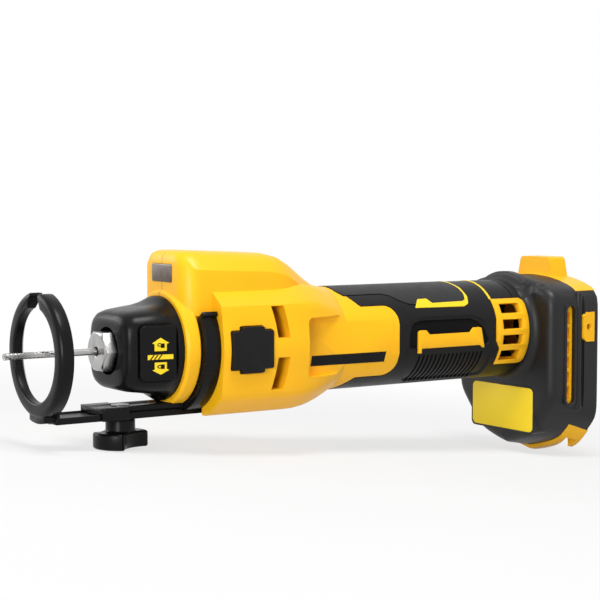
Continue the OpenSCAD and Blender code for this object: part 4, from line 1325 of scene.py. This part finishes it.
def make_world(scene):
    """White where it is seen, and a soft grey light elsewhere."""
    world = bpy.data.worlds.new("studio")
    world.use_nodes = True
    scene.world = world
    tree = world.node_tree
    soft = tree.nodes["Background"]
    soft.inputs["Color"].default_value = WHITE
    soft.inputs["Strength"].default_value = SOFT_LIGHT
    seen = tree.nodes.new("ShaderNodeBackground")
    seen.inputs["Color"].default_value = WHITE
    seen.inputs["Strength"].default_value = 1
    surface = tree.nodes["World Output"].inputs["Surface"]
    mix_shaders(tree, seen_directly(tree), soft.outputs[0], seen.outputs[0], surface)


def make_lamp(name, place, size, power):
    """A square soft lamp that faces the tool."""
    bpy.ops.object.light_add(type="AREA", location=place)
    lamp = bpy.context.active_object
    lamp.name = name
    lamp.data.shape = "SQUARE"
    lamp.data.size = size
    lamp.data.energy = power
    lamp.rotation_mode = "QUATERNION"
    lamp.rotation_quaternion = (AIM - place).to_track_quat("-Z", "Y")


# Distances from the floor's middle where the white starts and is full, and its share at the start
FLOOR_NEAR = 0.2
FLOOR_FAR = 0.55
FLOOR_WHITE = 0.7
FLOOR_LOW = (0.66, 0.66, 0.66)
FLOOR_HIGH = (0.69, 0.69, 0.69)
FLOOR_PATCHES = (9, 2)
FLOOR_ROUGH = 0.9


def floor_finish():
    """Pale matt floor that keeps shadows near the tool and is plain white farther away."""
    material, tree, shader, place = new_finish("pale_floor")
    shader.inputs["Roughness"].default_value = FLOOR_ROUGH
    shader.inputs["Specular IOR Level"].default_value = 0
    colour = blend_colours(tree, noise(tree, place, *FLOOR_PATCHES), FLOOR_LOW, FLOOR_HIGH)
    tree.links.new(colour, shader.inputs["Base Color"])
    fade = remap(tree, length_of(tree, place), FLOOR_NEAR, FLOOR_FAR, FLOOR_WHITE, 1)
    share = tree.nodes.new("ShaderNodeMath")
    share.operation = "MULTIPLY"
    tree.links.new(fade, share.inputs[0])
    tree.links.new(seen_directly(tree), share.inputs[1])
    white = tree.nodes.new("ShaderNodeEmission")
    white.inputs["Strength"].default_value = 1
    surface = tree.nodes["Material Output"].inputs["Surface"]
    mix_shaders(tree, share.outputs[0], shader.outputs[0], white.outputs[0], surface)
    return material


class CUTTER_OT_stage(CutterPiece):
    """Adds the floor, the lamps, the white surroundings and the photo's camera"""

    bl_idname = "cutter.stage"
    bl_label = "Stage"

    def execute(self, context):
        scene = context.scene
        bpy.ops.object.select_all(action="DESELECT")
        middle = (FOOT_POINT + KNOB_POINT) / 2
        slope = KNOB_POINT - FOOT_POINT
        bpy.ops.mesh.primitive_plane_add(size=2 * sizes().floor_half, location=middle)
        floor = context.active_object
        floor.name = "floor"
        floor.rotation_euler = (0, -math.atan2(slope.z, slope.x), 0)
        floor.data.materials.append(floor_finish())
        for lamp in LAMPS:
            make_lamp(*lamp)
        make_world(scene)
        make_camera(scene)
        scene.view_settings.view_transform = "Standard"
        return {"FINISHED"}


class CUTTER_PT_panel(bpy.types.Panel):
    """The dressing's sidebar panel"""

    bl_label = "Cut-out tool"
    bl_idname = "CUTTER_PT_panel"
    bl_space_type = "VIEW_3D"
    bl_region_type = "UI"
    bl_category = "Cut-out tool"

    def draw(self, context):
        layout = self.layout
        for operator in OPERATORS:
            layout.operator(operator.bl_idname)
        for group in (context.scene.cutter_sizes, context.scene.cutter_colours):
            for key in group.__annotations__:
                layout.prop(group, key)


OPERATORS = (
    CUTTER_OT_shell,
    CUTTER_OT_vent_shade_sleeve,
    CUTTER_OT_side_stripes,
    CUTTER_OT_grip,
    CUTTER_OT_grip_lines,
    CUTTER_OT_grip_inlays,
    CUTTER_OT_foot,
    CUTTER_OT_collar,
    CUTTER_OT_signs,
    CUTTER_OT_guide,
    CUTTER_OT_bit,
    CUTTER_OT_head,
    CUTTER_OT_inside,
    CUTTER_OT_stage,
)
CLASSES = (CutterSizes, CutterColours, *OPERATORS, CUTTER_PT_panel)


def register():
    for cls in CLASSES:
        bpy.utils.register_class(cls)
    bpy.types.Scene.cutter_sizes = bpy.props.PointerProperty(type=CutterSizes)
    bpy.types.Scene.cutter_colours = bpy.props.PointerProperty(type=CutterColours)


def unregister():
    del bpy.types.Scene.cutter_colours
    del bpy.types.Scene.cutter_sizes
    for cls in reversed(CLASSES):
        bpy.utils.unregister_class(cls)


def main():
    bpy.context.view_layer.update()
    register()
    bpy.ops.cutter.shell()
    bpy.ops.cutter.vent_sleeve()
    bpy.ops.cutter.side_stripes()
    bpy.ops.cutter.grip()
    bpy.ops.cutter.grip_lines()
    bpy.ops.cutter.grip_inlays()
    bpy.ops.cutter.foot()
    bpy.ops.cutter.collar()
    bpy.ops.cutter.signs()
    bpy.ops.cutter.guide()
    bpy.ops.cutter.bit()
    bpy.ops.cutter.head()
    bpy.ops.cutter.inside()
    bpy.ops.cutter.stage()


if __name__ == "__main__":
    main()
